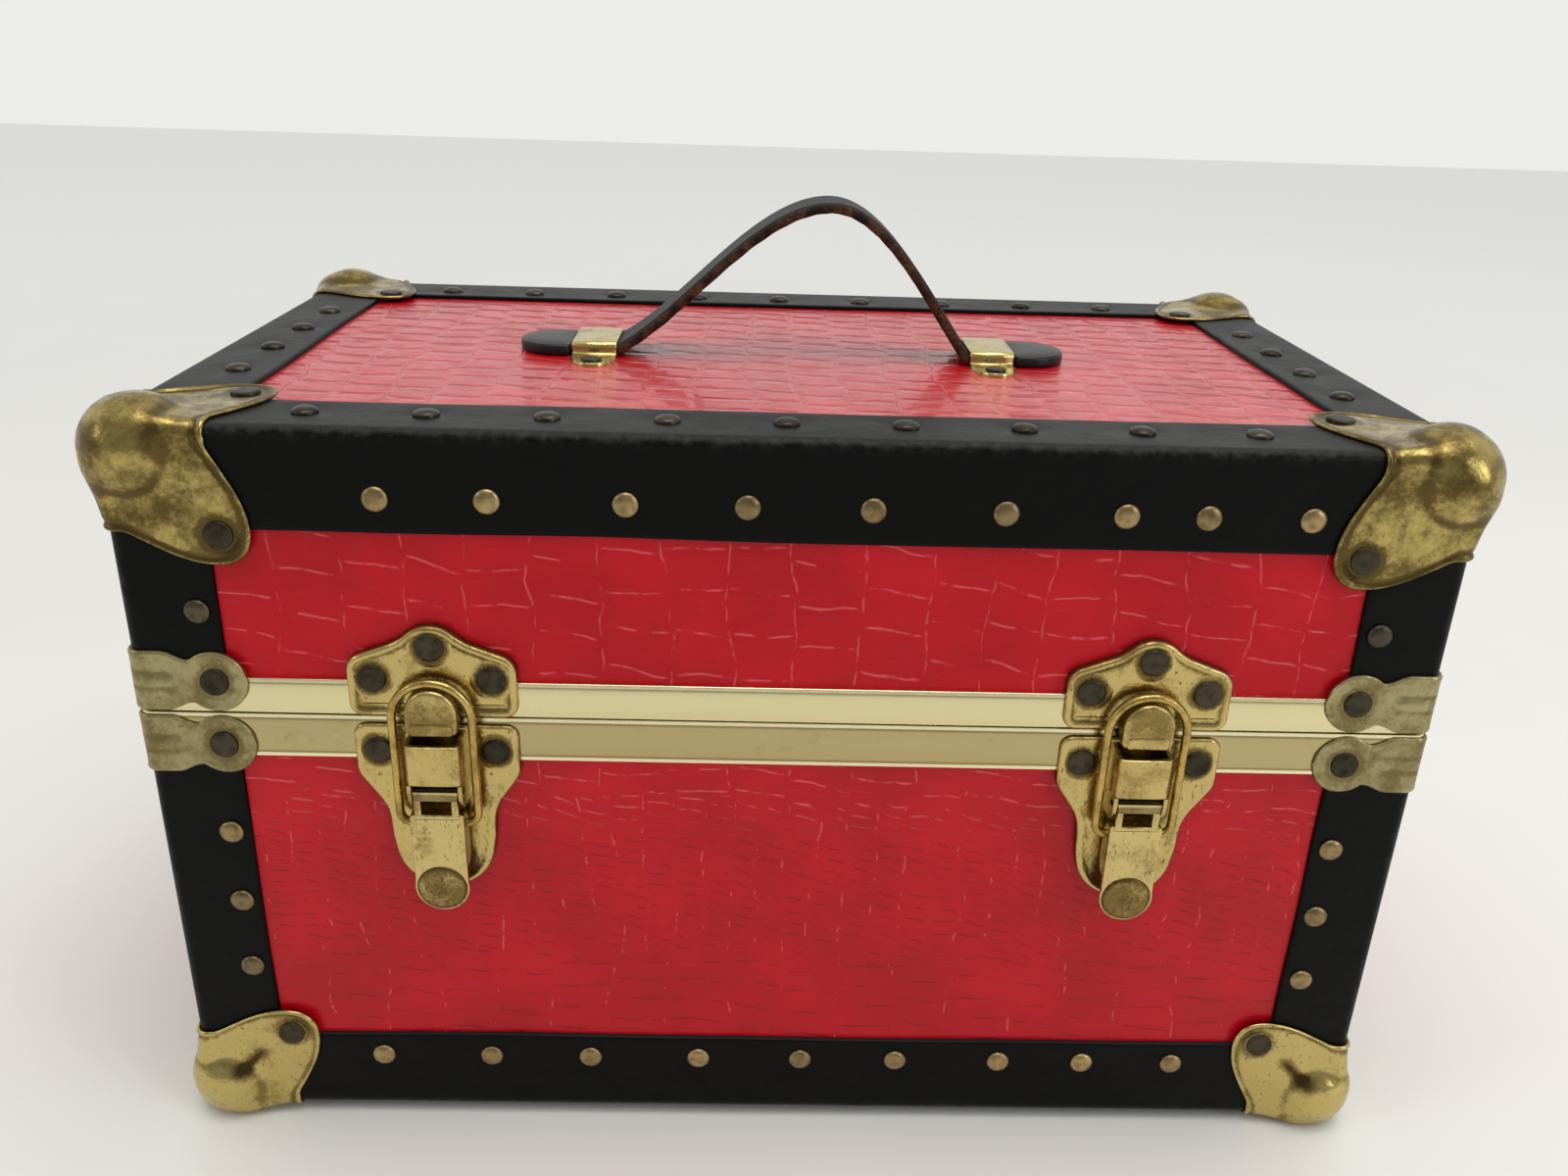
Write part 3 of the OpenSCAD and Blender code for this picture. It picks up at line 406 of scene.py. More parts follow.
SIDES = ("front", "back", "left", "right")
CORNERS = [(right, back) for back in (False, True) for right in (False, True)]
WALLS = {
    "front": lambda u, v, w: (u, front_y - w, v),
    "back": lambda u, v, w: (u, back_y + w, v),
    "left": lambda u, v, w: (-side_x - w, u, v),
    "right": lambda u, v, w: (side_x + w, u, v),
    "top": lambda u, v, w: (u, v, top_z + w),
}


def on(side, points):
    """Wall coordinates (along, up, out of the binding's plane) as places in the row frame."""
    pts = np.asarray(points, float)
    return np.stack(np.broadcast_arrays(*WALLS[side](pts[..., 0], pts[..., 1], pts[..., 2])), axis=-1)


def corner_sign(right, back, top):
    return np.array([-1 if far else 1 for far in (right, back, top)])


def at_corner(right, back, top, points):
    """Local corner coordinates, where the case fills the octant above 0, as places in the row frame."""
    origin = np.array([side_x if right else -side_x, back_y if back else front_y, top_z if top else bottom_z])
    return origin + corner_sign(right, back, top) * np.asarray(points, float)


class Shell:
    """Gathers the vertices and faces of one piece, in millimetres, with point attributes."""

    def __init__(self):
        self.verts, self.faces, self.marks = [], [], {}

    def add(self, verts, faces, **marks):
        start = len(self.verts)
        verts = np.asarray(verts, float).reshape(-1, 3)
        self.verts.extend(verts.tolist())
        self.faces.extend([tuple(start + i for i in f) for f in faces])
        for key in set(marks) | set(self.marks):
            column = self.marks.setdefault(key, [0.0] * start)
            value = np.asarray(marks.get(key, 0.0), float).reshape(-1)
            column.extend(np.broadcast_to(value, (len(verts),)).tolist())

    def grid(self, points, **marks):
        """Quads over an n by m array of points."""
        pts = np.asarray(points, float)
        n, m = pts.shape[:2]
        corners = [i * m + j for i in range(n - 1) for j in range(m - 1)]
        self.add(pts, [(a, a + 1, a + m + 1, a + m) for a in corners], **marks)

    def rings(self, loops, cap_start=True, cap_end=True, **marks):
        """A skin over closed loops of equal length, one after another, with flat ends."""
        pts = np.asarray(loops, float)
        n, m = pts.shape[:2]
        faces = []
        for i in range(n - 1):
            a, b = i * m, (i + 1) * m
            faces += [(a + j, a + (j + 1) % m, b + (j + 1) % m, b + j) for j in range(m)]
        if cap_start:
            faces.append(tuple(range(m))[::-1])
        if cap_end:
            faces.append(tuple((n - 1) * m + j for j in range(m)))
        self.add(pts, faces, **marks)

    def build(self, name, body, material, slot, stands_for, crease, weld=0.002):
        """The piece, in place of the CAD node that it stands for."""
        mesh = bpy.data.meshes.new(name)
        mesh.from_pydata([tuple(c * MM for c in v) for v in self.verts], [], self.faces)
        for key, values in self.marks.items():
            mesh.attributes.new(key, "FLOAT", "POINT").data.foreach_set("value", np.array(values, np.float32))
        work = bmesh.new()
        work.from_mesh(mesh)
        bmesh.ops.remove_doubles(work, verts=work.verts, dist=weld * MM)
        bmesh.ops.dissolve_degenerate(work, edges=work.edges, dist=1e-7)
        bmesh.ops.recalc_face_normals(work, faces=work.faces)
        work.to_mesh(mesh)
        work.free()
        mesh.polygons.foreach_set("use_smooth", [True] * len(mesh.polygons))
        mesh.set_sharp_from_angle(angle=math.radians(crease))
        piece = bpy.data.objects.new(name, mesh)
        bpy.context.scene.collection.objects.link(piece)
        mesh.materials.append(material)
        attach(piece, body)
        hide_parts(stands_for)
        return piece


def smoothstep(x, low, high):
    t = np.clip((np.asarray(x, float) - low) / (high - low), 0, 1)
    return t * t * (3 - 2 * t)


def gauss(distance, width):
    return np.exp(-((distance / width) ** 2))


def wave(x, seed, pitch):
    """Smooth wandering value of about -1 to 1 along x, the same every run."""
    total = 0.0
    draw = random.Random(seed)
    for k in range(5):
        swing = np.sin(np.asarray(x, float) / pitch * (0.6 + 0.5 * k) + draw.uniform(0, 7))
        total = total + swing / (1 + 0.5 * k)
    return total / 2.2


def arc(x, y, radius, first, last, count):
    """Points round a centre from the first angle to the last, in degrees."""
    turn = np.radians(np.linspace(first, last, count))
    return [(x + radius * math.cos(a), y + radius * math.sin(a)) for a in turn]


def circle(x, y, radius, w, sides):
    """A level loop of (x, y, w) points."""
    a = np.arange(sides) * 2 * math.pi / sides
    return np.column_stack([x + radius * np.cos(a), y + radius * np.sin(a), np.full(sides, w)])


def plain(points):
    """Points as corners without rounding."""
    return [(x, y, 0) for x, y in points]


def mirrored(half, shared=1):
    """A right half, then its mirror image in reverse, without the points shared at the middle."""
    return list(half) + [(-x, *rest) for x, *rest in half[::-1][shared:]]


def shrunk(points, share):
    """Points drawn towards their middle by a share of their distance from it."""
    pts = np.array(points, float)
    middle = pts.mean(axis=0)
    return middle + (pts - middle) * (1 - share)


def fillet(corners, steps=7):
    """A closed outline through (x, y, radius) corners, each rounded by its radius."""
    out = []
    n = len(corners)
    for i, (x, y, r) in enumerate(corners):
        here = np.array([x, y], float)
        before = np.array(corners[i - 1][:2], float) - here
        after = np.array(corners[(i + 1) % n][:2], float) - here
        la, lb = np.linalg.norm(before), np.linalg.norm(after)
        before, after = before / la, after / lb
        half = math.acos(max(-1, min(1, float(before @ after)))) / 2
        reach = min(r / math.tan(half), la * 0.49, lb * 0.49) if r > 0 and half < 1.55 else 0
        if reach < 1e-6:
            out.append(here)
            continue
        radius = reach * math.tan(half)
        middle = here + (before + after) / np.linalg.norm(before + after) * radius / math.sin(half)
        first, last = here + before * reach - middle, here + after * reach - middle
        turn = math.atan2(first[0] * last[1] - first[1] * last[0], float(first @ last))
        for k in range(steps + 1):
            a = turn * k / steps
            spin = np.array([[math.cos(a), -math.sin(a)], [math.sin(a), math.cos(a)]])
            out.append(middle + spin @ first)
    return np.array(out)


def resample(outline, pitch):
    """The closed outline again, with even points about pitch apart."""
    loop = np.vstack([outline, outline[:1]])
    along = np.concatenate([[0], np.cumsum(np.linalg.norm(np.diff(loop, axis=0), axis=1))])
    count = max(12, int(round(along[-1] / pitch)))
    at = np.linspace(0, along[-1], count, endpoint=False)
    return np.stack([np.interp(at, along, loop[:, k]) for k in (0, 1)], axis=1)


def inset(outline, amount):
    """The closed outline moved inwards by amount."""
    before, after = np.roll(outline, 1, axis=0), np.roll(outline, -1, axis=0)
    run = after - before
    normal = np.stack([-run[:, 1], run[:, 0]], axis=1)
    normal /= np.linalg.norm(normal, axis=1, keepdims=True)
    area = np.sum(before[:, 0] * outline[:, 1] - outline[:, 0] * before[:, 1])
    return outline + normal * (amount if area > 0 else -amount)


def plate_rings(outline, profile):
    """Loops of (x, y, w) from a profile of (inset, w) steps."""
    return [np.column_stack([inset(outline, d), np.full(len(outline), w)]) for d, w in profile]


def closed_tube(path, radius, sides):
    """Loops round a closed path of points, carried along without twist."""
    pts = np.asarray(path, float)
    ahead = np.roll(pts, -1, axis=0) - np.roll(pts, 1, axis=0)
    ahead /= np.linalg.norm(ahead, axis=1, keepdims=True)
    up = np.cross(ahead[0], [0.31, 0.52, 0.8])
    a = (np.arange(sides) * 2 * math.pi / sides)[:, None]
    loops = []
    for here, way in zip(pts, ahead):
        up = up - way * (up @ way)
        up /= np.linalg.norm(up)
        loops.append(here + radius * (np.cos(a) * up + np.sin(a) * np.cross(way, up)))
    return loops + loops[:1]


def dress(names, material, bevel=0.0, crease=38):
    """Better material for CAD nodes whose shape is right, with their hard edges softened."""
    for name in names:
        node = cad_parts[name]
        node.data.materials.clear()
        node.data.materials.append(material)
        node.modifiers.new("weld", "WELD").merge_threshold = 1e-6
        if bevel:
            soften = node.modifiers.new("soften", "BEVEL")
            soften.width = bevel * MM
            soften.segments = 2
            soften.limit_method = "ANGLE"
            soften.angle_limit = math.radians(crease)
        part = node.modifiers.new("part", "EDGE_SPLIT")
        part.use_edge_sharp = False
        part.split_angle = math.radians(50 if bevel else crease)
        for polygon in node.data.polygons:
            polygon.use_smooth = True

# ---- materials in use ----

SMALL_SCALES = (bottom_z + 58, bottom_z + 112)
# base walls: crease rows take a painted highlight above this height and painted shade below it
PAINTED_HIGHLIGHT_ABOVE = bottom_z + 106
lower = {"painted_highlight_above": PAINTED_HIGHLIGHT_ABOVE, "small": SMALL_SCALES}
croc = {
    "lid_ends": croc_vinyl("croc_lid_walls", "X", "Z", coat=0.0, painted_highlight_above=seam_z),
    "lid_sides": croc_vinyl("croc_lid_sides", "Y", "Z", coat=0.0, painted_highlight_above=seam_z),
    "base_ends": croc_vinyl("croc_base_walls", "X", "Z", **lower),
    "base_sides": croc_vinyl("croc_base_sides", "Y", "Z", **lower),
    "flat": croc_vinyl("croc_lid_top", "X", "Y", 2.6, 0.6, light=srgb(200, 90, 96), cell=14.5),
}
# bright, dull and dark tones, roughness, share of tarnish
brass = metal("aged_brass", srgb(184, 164, 98), srgb(98, 82, 46), srgb(42, 34, 20), 0.19, 0.72)
foot_brass = metal(
    "foot_brass", srgb(196, 176, 110), srgb(136, 116, 68), srgb(44, 36, 22), 0.23, 0.35, specks=0.75
)
plate_brass = metal(
    "latch_brass", srgb(198, 176, 112), srgb(144, 122, 70), srgb(52, 41, 25), 0.24, 0.35, specks=0.7,
    streaks=(1.2, 1, 0.5),
)
lever_brass = metal(
    "lever_brass", srgb(206, 186, 124), srgb(142, 118, 68), srgb(50, 39, 24), 0.22, 0.4, specks=0.9,
    streaks=(1.4, 1, 0.35),
)
bail_brass = metal("bail_brass", srgb(196, 170, 98), srgb(140, 112, 60), srgb(60, 44, 26), 0.24, 0.5)
clamp_brass = metal("clamp_brass", srgb(166, 156, 114), srgb(126, 112, 72), srgb(50, 42, 28), 0.34, 0.6)
loop_brass = metal("loop_brass", srgb(200, 182, 120), srgb(150, 124, 70), srgb(60, 46, 30), 0.22, 0.35)
# rolled sheet: long grain, hardly dented, no specks, and painted lip highlights just inside its edges
rolled = {"grain": (0.02, 1.5, 6.0), "dents": 0.05, "specks": 0.0}
LIP_IN = 0.4
lid_gold = metal(
    "lid_rail_gold", srgb(222, 212, 164), srgb(206, 194, 144), srgb(120, 106, 70), 0.22, 0.1,
    painted_lip_heights=[lid_rail_high - LIP_IN], **rolled,
)
# painted shade: the base rail is a darker copy of the lid rail's gold, for the darker surroundings it
# reflects, and a little more tarnished
shaded_base_gold = metal(
    "base_rail_gold_shaded", srgb(184, 168, 120), srgb(162, 144, 98), srgb(96, 80, 50), 0.22, 0.3,
    painted_lip_heights=[base_rim_z - LIP_IN, base_rail_low + LIP_IN], **rolled,
)
bronze_tones = [srgb(28, 27, 25), srgb(84, 78, 68), srgb(138, 118, 84), srgb(186, 160, 112)]
trim_metal = rivet_metal("trim_rivets", bronze_tones, 0.36)
plate_metal = rivet_metal("plate_rivets", [srgb(60, 55, 45), srgb(80, 72, 58)], 0.42)
skin = binding_skin()
strap_leather = strap_skin()
paddle_leather = black_leather()
wine_velvet = velvet("wine_velvet", srgb(122, 24, 38), srgb(142, 38, 50))
roll_velvet = velvet("roll_velvet", srgb(112, 20, 34), srgb(138, 38, 50))

for level in ("lid", "base"):
    dress([level + "_front_panel", level + "_back_panel"], croc[level + "_ends"])
    dress([level + "_left_panel", level + "_right_panel"], croc[level + "_sides"])
dress(["lid_top_panel", "base_bottom_panel"], croc["flat"])
dress(["lid_rail"], lid_gold, 0.3)
dress(["base_rail"], shaded_base_gold, 0.3)
for side in ("left", "right"):
    dress([side + "_hinge_base_leaf", side + "_hinge_lid_leaf"], brass, 0.25)
    dress([side + "_latch_plate", side + "_latch_keeper"], plate_brass, 0.35)
    dress([side + "_lever"], lever_brass, 0.25)
    dress([side + "_bail"], lever_brass)
dress(["hinge_pins", "latch_pins"], plate_metal, 0.15)
dress(["base_lining", "lid_lining"], wine_velvet)
dress(["tray_frame", "tray_dividers", "tray_cleats"], wood(), 0.5)


# ---- corner caps ----

CAP_CORNERS = [(28.5, 0), (28.5, 2.5), (28.6, 6), (32.0, 12.0), (35.2, 18.4), (37.0, 24.0), (37.2, 27.5)]


def lobe_reach(phi):
    """Distance from the case corner to the cap's outline, in direction phi on one face."""
    half = np.array(CAP_CORNERS + arc(LOBE_RIVET, LOBE_RIVET, LOBE_R, -10, 45, 12))
    angle, reach = np.arctan2(half[:, 1], half[:, 0]), np.hypot(half[:, 0], half[:, 1])
    folded = np.minimum(phi, math.pi / 2 - phi)
    spread = np.linspace(-0.05, 0.05, 9)
    return np.mean([np.interp(np.clip(folded + s, 0, math.pi / 4), angle, reach) for s in spread], axis=0)


def wrap(p, out, rounded=(True, True, True)):
    """Points on the case's skin, pushed out by out, with the rounding of the edges followed."""
    q = np.where(np.array(rounded), np.maximum(p, EDGE_R), p)
    away = p - q
    away /= np.linalg.norm(away, axis=-1, keepdims=True)
    return q + away * (EDGE_R + np.asarray(out)[..., None])


def cap_face(shell, put, seed, groove_at, battered):
    """A third of a cap: a lobe over one face of the case, and its share of the ball."""
    draw = random.Random(seed)
    c = np.array([BALL_IN] * 3)
    phi = np.linspace(0, math.pi / 2, 65)[:, None]
    t = np.concatenate([np.linspace(0, 0.8, 34), np.linspace(0.82, 1, 16)])[None, :]
    reach = lobe_reach(phi)
    edge = (1 - t) * reach
    flat = np.stack([t * reach * np.cos(phi), t * reach * np.sin(phi)], axis=-1)
    u, v = flat[..., 0], flat[..., 1]
    # rolled rim, a groove behind it, a hollow round the rivet and the hammered look of a pressed sheet
    out = SHEET_T + 0.3 * gauss(edge - 0.8, 0.7) - 0.28 * gauss(edge - 2.3, 0.9)
    out = out - 0.25 * smoothstep(edge, 0.45, 0)
    rivet = np.hypot(u - LOBE_RIVET, v - LOBE_RIVET)
    out = out - 0.22 * gauss(rivet - 4.6, 1.0)
    grime = 0.6 * gauss(edge - 2.3, 1.1) + 0.7 * gauss(rivet - 4.6, 0.9)
    for _ in range(9):
        x, y, r = draw.uniform(6, 32), draw.uniform(6, 32), draw.uniform(2.5, 6.5)
        dent = gauss(np.hypot(u - x, v - y), r) * smoothstep(edge, 0, 3)
        out = out - battered * draw.uniform(-0.3, 0.6) * dent
    # the sheet is blown out along the case edges, most of all beside the ball
    near, beyond = np.minimum(u, v), np.maximum(u, v)
    out = out + 1.7 * gauss(near, 4.5) * smoothstep(beyond, 28, 11)
    if groove_at:
        # stained groove that runs from the ball towards the rivet
        along, across = (u + v) / math.sqrt(2), (u - v) / math.sqrt(2)
        groove = smoothstep(along, 13, 18) * smoothstep(along, 33, 27) * gauss(across - 1.5, 1.9)
        out = out - 0.35 * groove
        grime = grime + 0.9 * groove
    p = np.stack([u, v, np.zeros_like(u)], axis=-1)
    away = wrap(p, np.maximum(out, 0.3)) - c
    far = np.linalg.norm(away, axis=-1)
    ball = BALL_R
    for _ in range(4):
        depth = draw.uniform(-0.5, 0.3) * battered
        lump = gauss(np.hypot(u - draw.uniform(-2, 12), v - draw.uniform(-2, 12)), draw.uniform(3, 6))
        ball = ball + depth * lump * smoothstep(near, 0.5, 5)
    # the sheet follows whichever stands further out, ball or case, with a soft fold where they meet
    soft = 0.5 + 5.0 * smoothstep(beyond, BALL_IN, BALL_IN + 5)
    outer = 0.5 * (far + ball + np.sqrt((far - ball) ** 2 + soft))
    radius = ball + (outer - ball) * smoothstep(beyond, BALL_IN - 1.5, BALL_IN + 2)
    skin_at = c + away / far[..., None] * radius[..., None]
    near_fold = gauss(np.hypot(np.maximum(u - BALL_IN, 0), np.maximum(v - BALL_IN, 0)) - 8.4, 1.6)
    grime = grime + 0.45 * near_fold * (beyond > BALL_IN)
    lip = wrap(p[:, -1:], np.full((len(p), 1), 0.25))
    under = wrap(p[:, -1:] * 0.985, np.full((len(p), 1), -0.25))
    points = np.concatenate([skin_at, lip, under], axis=1)
    marks = np.clip(np.concatenate([grime, np.ones((len(p), 2)) * 0.6], axis=1), 0, 1)
    shell.grid(put(points), wear=marks)


def make_cap(right, back, top, seed):
    level = "lid" if top else "base"
    node = f"{level}_{'back' if back else 'front'}_{'right' if right else 'left'}_cap"
    shell = Shell()
    for turn in range(3):
        def put(points, turn=turn):
            local = np.roll(points, turn, axis=-1)
            if not top:
                local[..., 2] = np.maximum(local[..., 2], -FOOT_H)
            return at_corner(right, back, top, local)

        cap_face(shell, put, seed * 3 + turn, not top and turn != 0, 1.0 if top or back else 0.8)
    finish = brass if top else foot_brass
    shell.build(node + "_sheet", level, finish, "brass_hardware", node, 60, weld=0.02)


for number, (right, back) in enumerate(CORNERS):
    for top in (False, True):
        make_cap(right, back, top, number * 2 + top + 11)


# ---- clamps over the rail ends ----

CLAMP_REACH, CLAMP_HALF, CLAMP_WAIST = 31, 8.8, 6.4


def make_clamps(level, z, seed):
    """Brass sheets folded round the corners: a waist, a pressed rib and a round end at each rivet."""
    shell = Shell()
    s = np.linspace(-CLAMP_REACH, CLAMP_REACH, 125)[:, None]
    rims = np.linspace(0.86, 1, 6)
    t = np.concatenate([-rims[::-1], np.linspace(-0.8, 0.8, 13), rims])[None, :]
    far = np.abs(s)
    flat_part = CLAMP_HALF - (CLAMP_HALF - CLAMP_WAIST) * smoothstep(far, 8.5, 15.6)
    round_part = np.sqrt(np.maximum(CLAMP_HALF**2 - (far - CLAMP_RIVET) ** 2, 0.0))
    waist = np.maximum(flat_part, np.where(far > 13.4, round_part, 0))
    half = np.maximum(np.where(far < CLAMP_RIVET, waist, round_part), 0.02)
    up = t * half
    edge = np.minimum((1 - np.abs(t)) * half, CLAMP_REACH - far)
    rivet = np.hypot(far - CLAMP_RIVET, up)
    rib = smoothstep(far, 2.0, 4.0) * smoothstep(far, 12.5, 10.8) * gauss(up, 1.2)
    beside = smoothstep(far, 12.5, 10.0) * gauss(np.abs(up) - 2.4, 0.7)
    pressed = SHEET_T - 0.3 * smoothstep(edge, 0.5, 0) + 0.12 * gauss(edge - 0.9, 0.6) + 0.75 * rib
    pressed = pressed - 0.18 * gauss(rivet - 4.7, 0.9)
    marks = 0.4 * gauss(rivet - 4.7, 0.9) + 0.4 * beside - 0.3 * rib + 0.1 * gauss(edge - 2, 0.8)
    rim = np.full((len(s), 2), 0.5)
    wear = np.concatenate([rim, np.clip(marks, 0, 1), rim], axis=1)
    place = np.stack(np.broadcast_arrays(np.maximum(s, 0), np.maximum(-s, 0), up), axis=-1)

    def folded(p, out):
        return wrap(p, np.broadcast_to(out, p.shape[:2]), (True, True, False))

    for number, (right, back) in enumerate(CORNERS):
        draw = random.Random(seed + number)
        out = pressed
        for _ in range(6):
            at, width = draw.uniform(-26, 26), draw.uniform(2.5, 6)
            depth = draw.uniform(-0.12, 0.3)
            out = out - depth * gauss(np.hypot(s - at, up - draw.uniform(-6, 6)), width)
        low = [folded(place[:, :1], w) for w in (-0.25, 0.3)]
        high = [folded(place[:, -1:], w) for w in (0.3, -0.25)]
        points = np.concatenate([*low, folded(place, out), *high], axis=1)
        points[..., 2] += z - bottom_z
        shell.grid(at_corner(right, back, False, points), wear=wear)
    shell.build(level + "_clamp_sheets", level, clamp_brass, "brass_hardware", level + "_clamps", 50)


make_clamps("lid", seam_z + CLAMP_OFF_SEAM, 40)
make_clamps("base", seam_z - CLAMP_OFF_SEAM, 50)

# ---- rivets ----

# ends of the dark-to-bright range that the tones of rivets are drawn from
WORN, UPPER_UPRIGHT, LOWER_UPRIGHT = (0.65, 1.0), (0.3, 0.45), (0.45, 0.8)
ON_TOP, ANY_TONE = (0.12, 0.3), (0.0, 1.0)
LEAN = 0.03
# (radius, height) steps
DOME = [(3.5, -0.6), (3.5, 0.1), (3.3, 0.42), (2.85, 0.74), (2.2, 1.02), (1.4, 1.2), (0.6, 1.28), (0.05, 1.3)]
FLAT_HEAD = [(3.95, -0.5), (3.95, 0.25), (3.8, 0.5), (3.4, 0.66), (2.4, 0.7), (1.2, 0.66), (0.05, 0.64)]
SMALL_HEAD = [(r * 0.81, h) for r, h in FLAT_HEAD]
NORMALS = {"front": (0, -1, 0), "back": (0, 1, 0), "left": (-1, 0, 0), "right": (1, 0, 0), "top": (0, 0, 1)}
ACROSS = {"front": (1, 0, 0), "back": (1, 0, 0), "left": (0, 1, 0), "right": (0, 1, 0), "top": (1, 0, 0)}


def lathe(shell, profile, place, axis, across, tone, tilt):
    """A head turned about axis through place, standing on the skin there."""
    axis, across = np.array(axis, float), np.array(across, float)
    other = np.cross(axis, across)
    a = np.arange(22) * 2 * math.pi / 22
    loops = []
    for r, h in profile:
        ring = np.cos(a)[:, None] * across + np.sin(a)[:, None] * other
        lean = tilt * r * np.cos(a + tone * 6.28)[:, None] * (h > 0)
        loops.append(np.asarray(place) + ring * r + axis * (h + lean))
    shell.rings(loops, cap_start=False, tone=tone)


def heads(shell, side, places, profile, tones, w=0.0):
    for u, v in places:
        place = on(side, (u, v, w))
        tone, tilt = rng.uniform(*tones), rng.uniform(-LEAN, LEAN)
        lathe(shell, profile, place, NORMALS[side], ACROSS[side], tone, tilt)


def upright_places(side, inset_by, z):
    if side in ("front", "back"):
        return [(-side_x + inset_by, z), (side_x - inset_by, z)]
    return [(front_y + inset_by, z), (back_y - inset_by, z)]


def make_rivets():
    lid, base = Shell(), Shell()
    top_row_z, bottom_row_z = top_z - TOP_ROW_IN, bottom_z + BOTTOM_ROW_IN
    heads(lid, "front", [(x, top_row_z) for x in TOP_FRONT_ROW], DOME, WORN)
    heads(lid, "back", [(x, top_row_z) for x in EVEN_ROW], DOME, WORN)
    heads(base, "front", [(x, bottom_row_z) for x in BOTTOM_FRONT_ROW], DOME, WORN)
    heads(base, "back", [(x, bottom_row_z) for x in EVEN_ROW], DOME, WORN)
    for side in ("left", "right"):
        heads(lid, side, [(y, top_row_z) for y in SIDE_ROW], DOME, WORN)
        heads(base, side, [(y, bottom_row_z) for y in SIDE_ROW], DOME, WORN)
    for side in SIDES:
        for z in LID_UPRIGHT_Z:
            heads(lid, side, upright_places(side, UPRIGHT_IN, z), DOME, UPPER_UPRIGHT)
        for z in BASE_UPRIGHT_Z:
            heads(base, side, upright_places(side, UPRIGHT_IN, z), DOME, LOWER_UPRIGHT)
    for y in (front_y + FLAT_ROW_IN, back_y - FLAT_ROW_IN):
        heads(lid, "top", [(x, y) for x in EVEN_ROW], DOME, ON_TOP)
    for x in (-side_x + FLAT_ROW_IN, side_x - FLAT_ROW_IN):
        heads(lid, "top", [(x, y) for y in SIDE_ROW], DOME, ON_TOP)
    lid.build("lid_trim_rivet_heads", "lid", trim_metal, "bronze_rivet", "lid_trim_rivets", 38)
    base.build("base_trim_rivet_heads", "base", trim_metal, "bronze_rivet", "base_trim_rivets", 38)


def cap_heads(shell, top):
    for right, back in CORNERS:
        for turn in range(3):
            place = at_corner(right, back, top, np.roll([LOBE_RIVET, LOBE_RIVET, -SHEET_T], turn))
            outward = -np.roll([0, 0, 1.0], turn) * corner_sign(right, back, top)
            across = np.roll([1.0, 0, 0], turn)
            lathe(shell, FLAT_HEAD, place, outward, across, rng.random(), rng.uniform(-LEAN, LEAN))


def make_plate_rivets():
    lid, base = Shell(), Shell()
    for shell, top, way, spots in ((lid, True, 1, KEEPER_RIVETS), (base, False, -1, SHIELD_RIVETS)):
        cap_heads(shell, top)
        for side in SIDES:
            places = upright_places(side, CLAMP_RIVET, seam_z + way * CLAMP_OFF_SEAM)
            heads(shell, side, places, FLAT_HEAD, ANY_TONE, SHEET_T)
        for x in (-LATCH_X, LATCH_X):
            heads(shell, "front", [(x + u, seam_z + v) for u, v in spots], FLAT_HEAD, ANY_TONE, PLATE_T)
            places = [(x + u, seam_z + way * HINGE_RIVET_Z) for u in (-HINGE_RIVET_X, HINGE_RIVET_X)]
            heads(shell, "back", places, FLAT_HEAD, ANY_TONE, LEAF_T)
    foot_rivet = STRAP_W / 2 + LOOP_PLAY + LOOP_FOOT - LOOP_FOOT_RIVET
    for x in (-LOOP_X, LOOP_X):
        for y in (mid_y - foot_rivet, mid_y + foot_rivet):
            heads(lid, "top", [(x, y)], SMALL_HEAD, ANY_TONE, lid_face + 1.0 - top_z)
    lid.build("lid_plate_rivet_heads", "lid", plate_metal, "bronze_rivet", "lid_plate_rivets", 38)
    base.build("base_plate_rivet_heads", "base", plate_metal, "bronze_rivet", "base_plate_rivets", 38)


make_rivets()
make_plate_rivets()

# ---- edge bindings ----

WALL_ROWS = {("front", True): TOP_FRONT_ROW, ("front", False): BOTTOM_FRONT_ROW}


def dimple(u, v, places, depth, width):
    """The skin is drawn down round each rivet."""
    total = 0.0
    for x, y in places:
        total = total + depth * gauss(np.hypot(u - x, v - y), width)
    return total


def edge_rub_and_sheen(x, y):
    """Rub wear along the rounded edge, which also marks a painted sheen line there."""
    return gauss(np.hypot(x - 0.9, y - 0.9), 1.6)


def columns(profile):
    return [np.array(values)[None, :] for values in zip(*profile)]


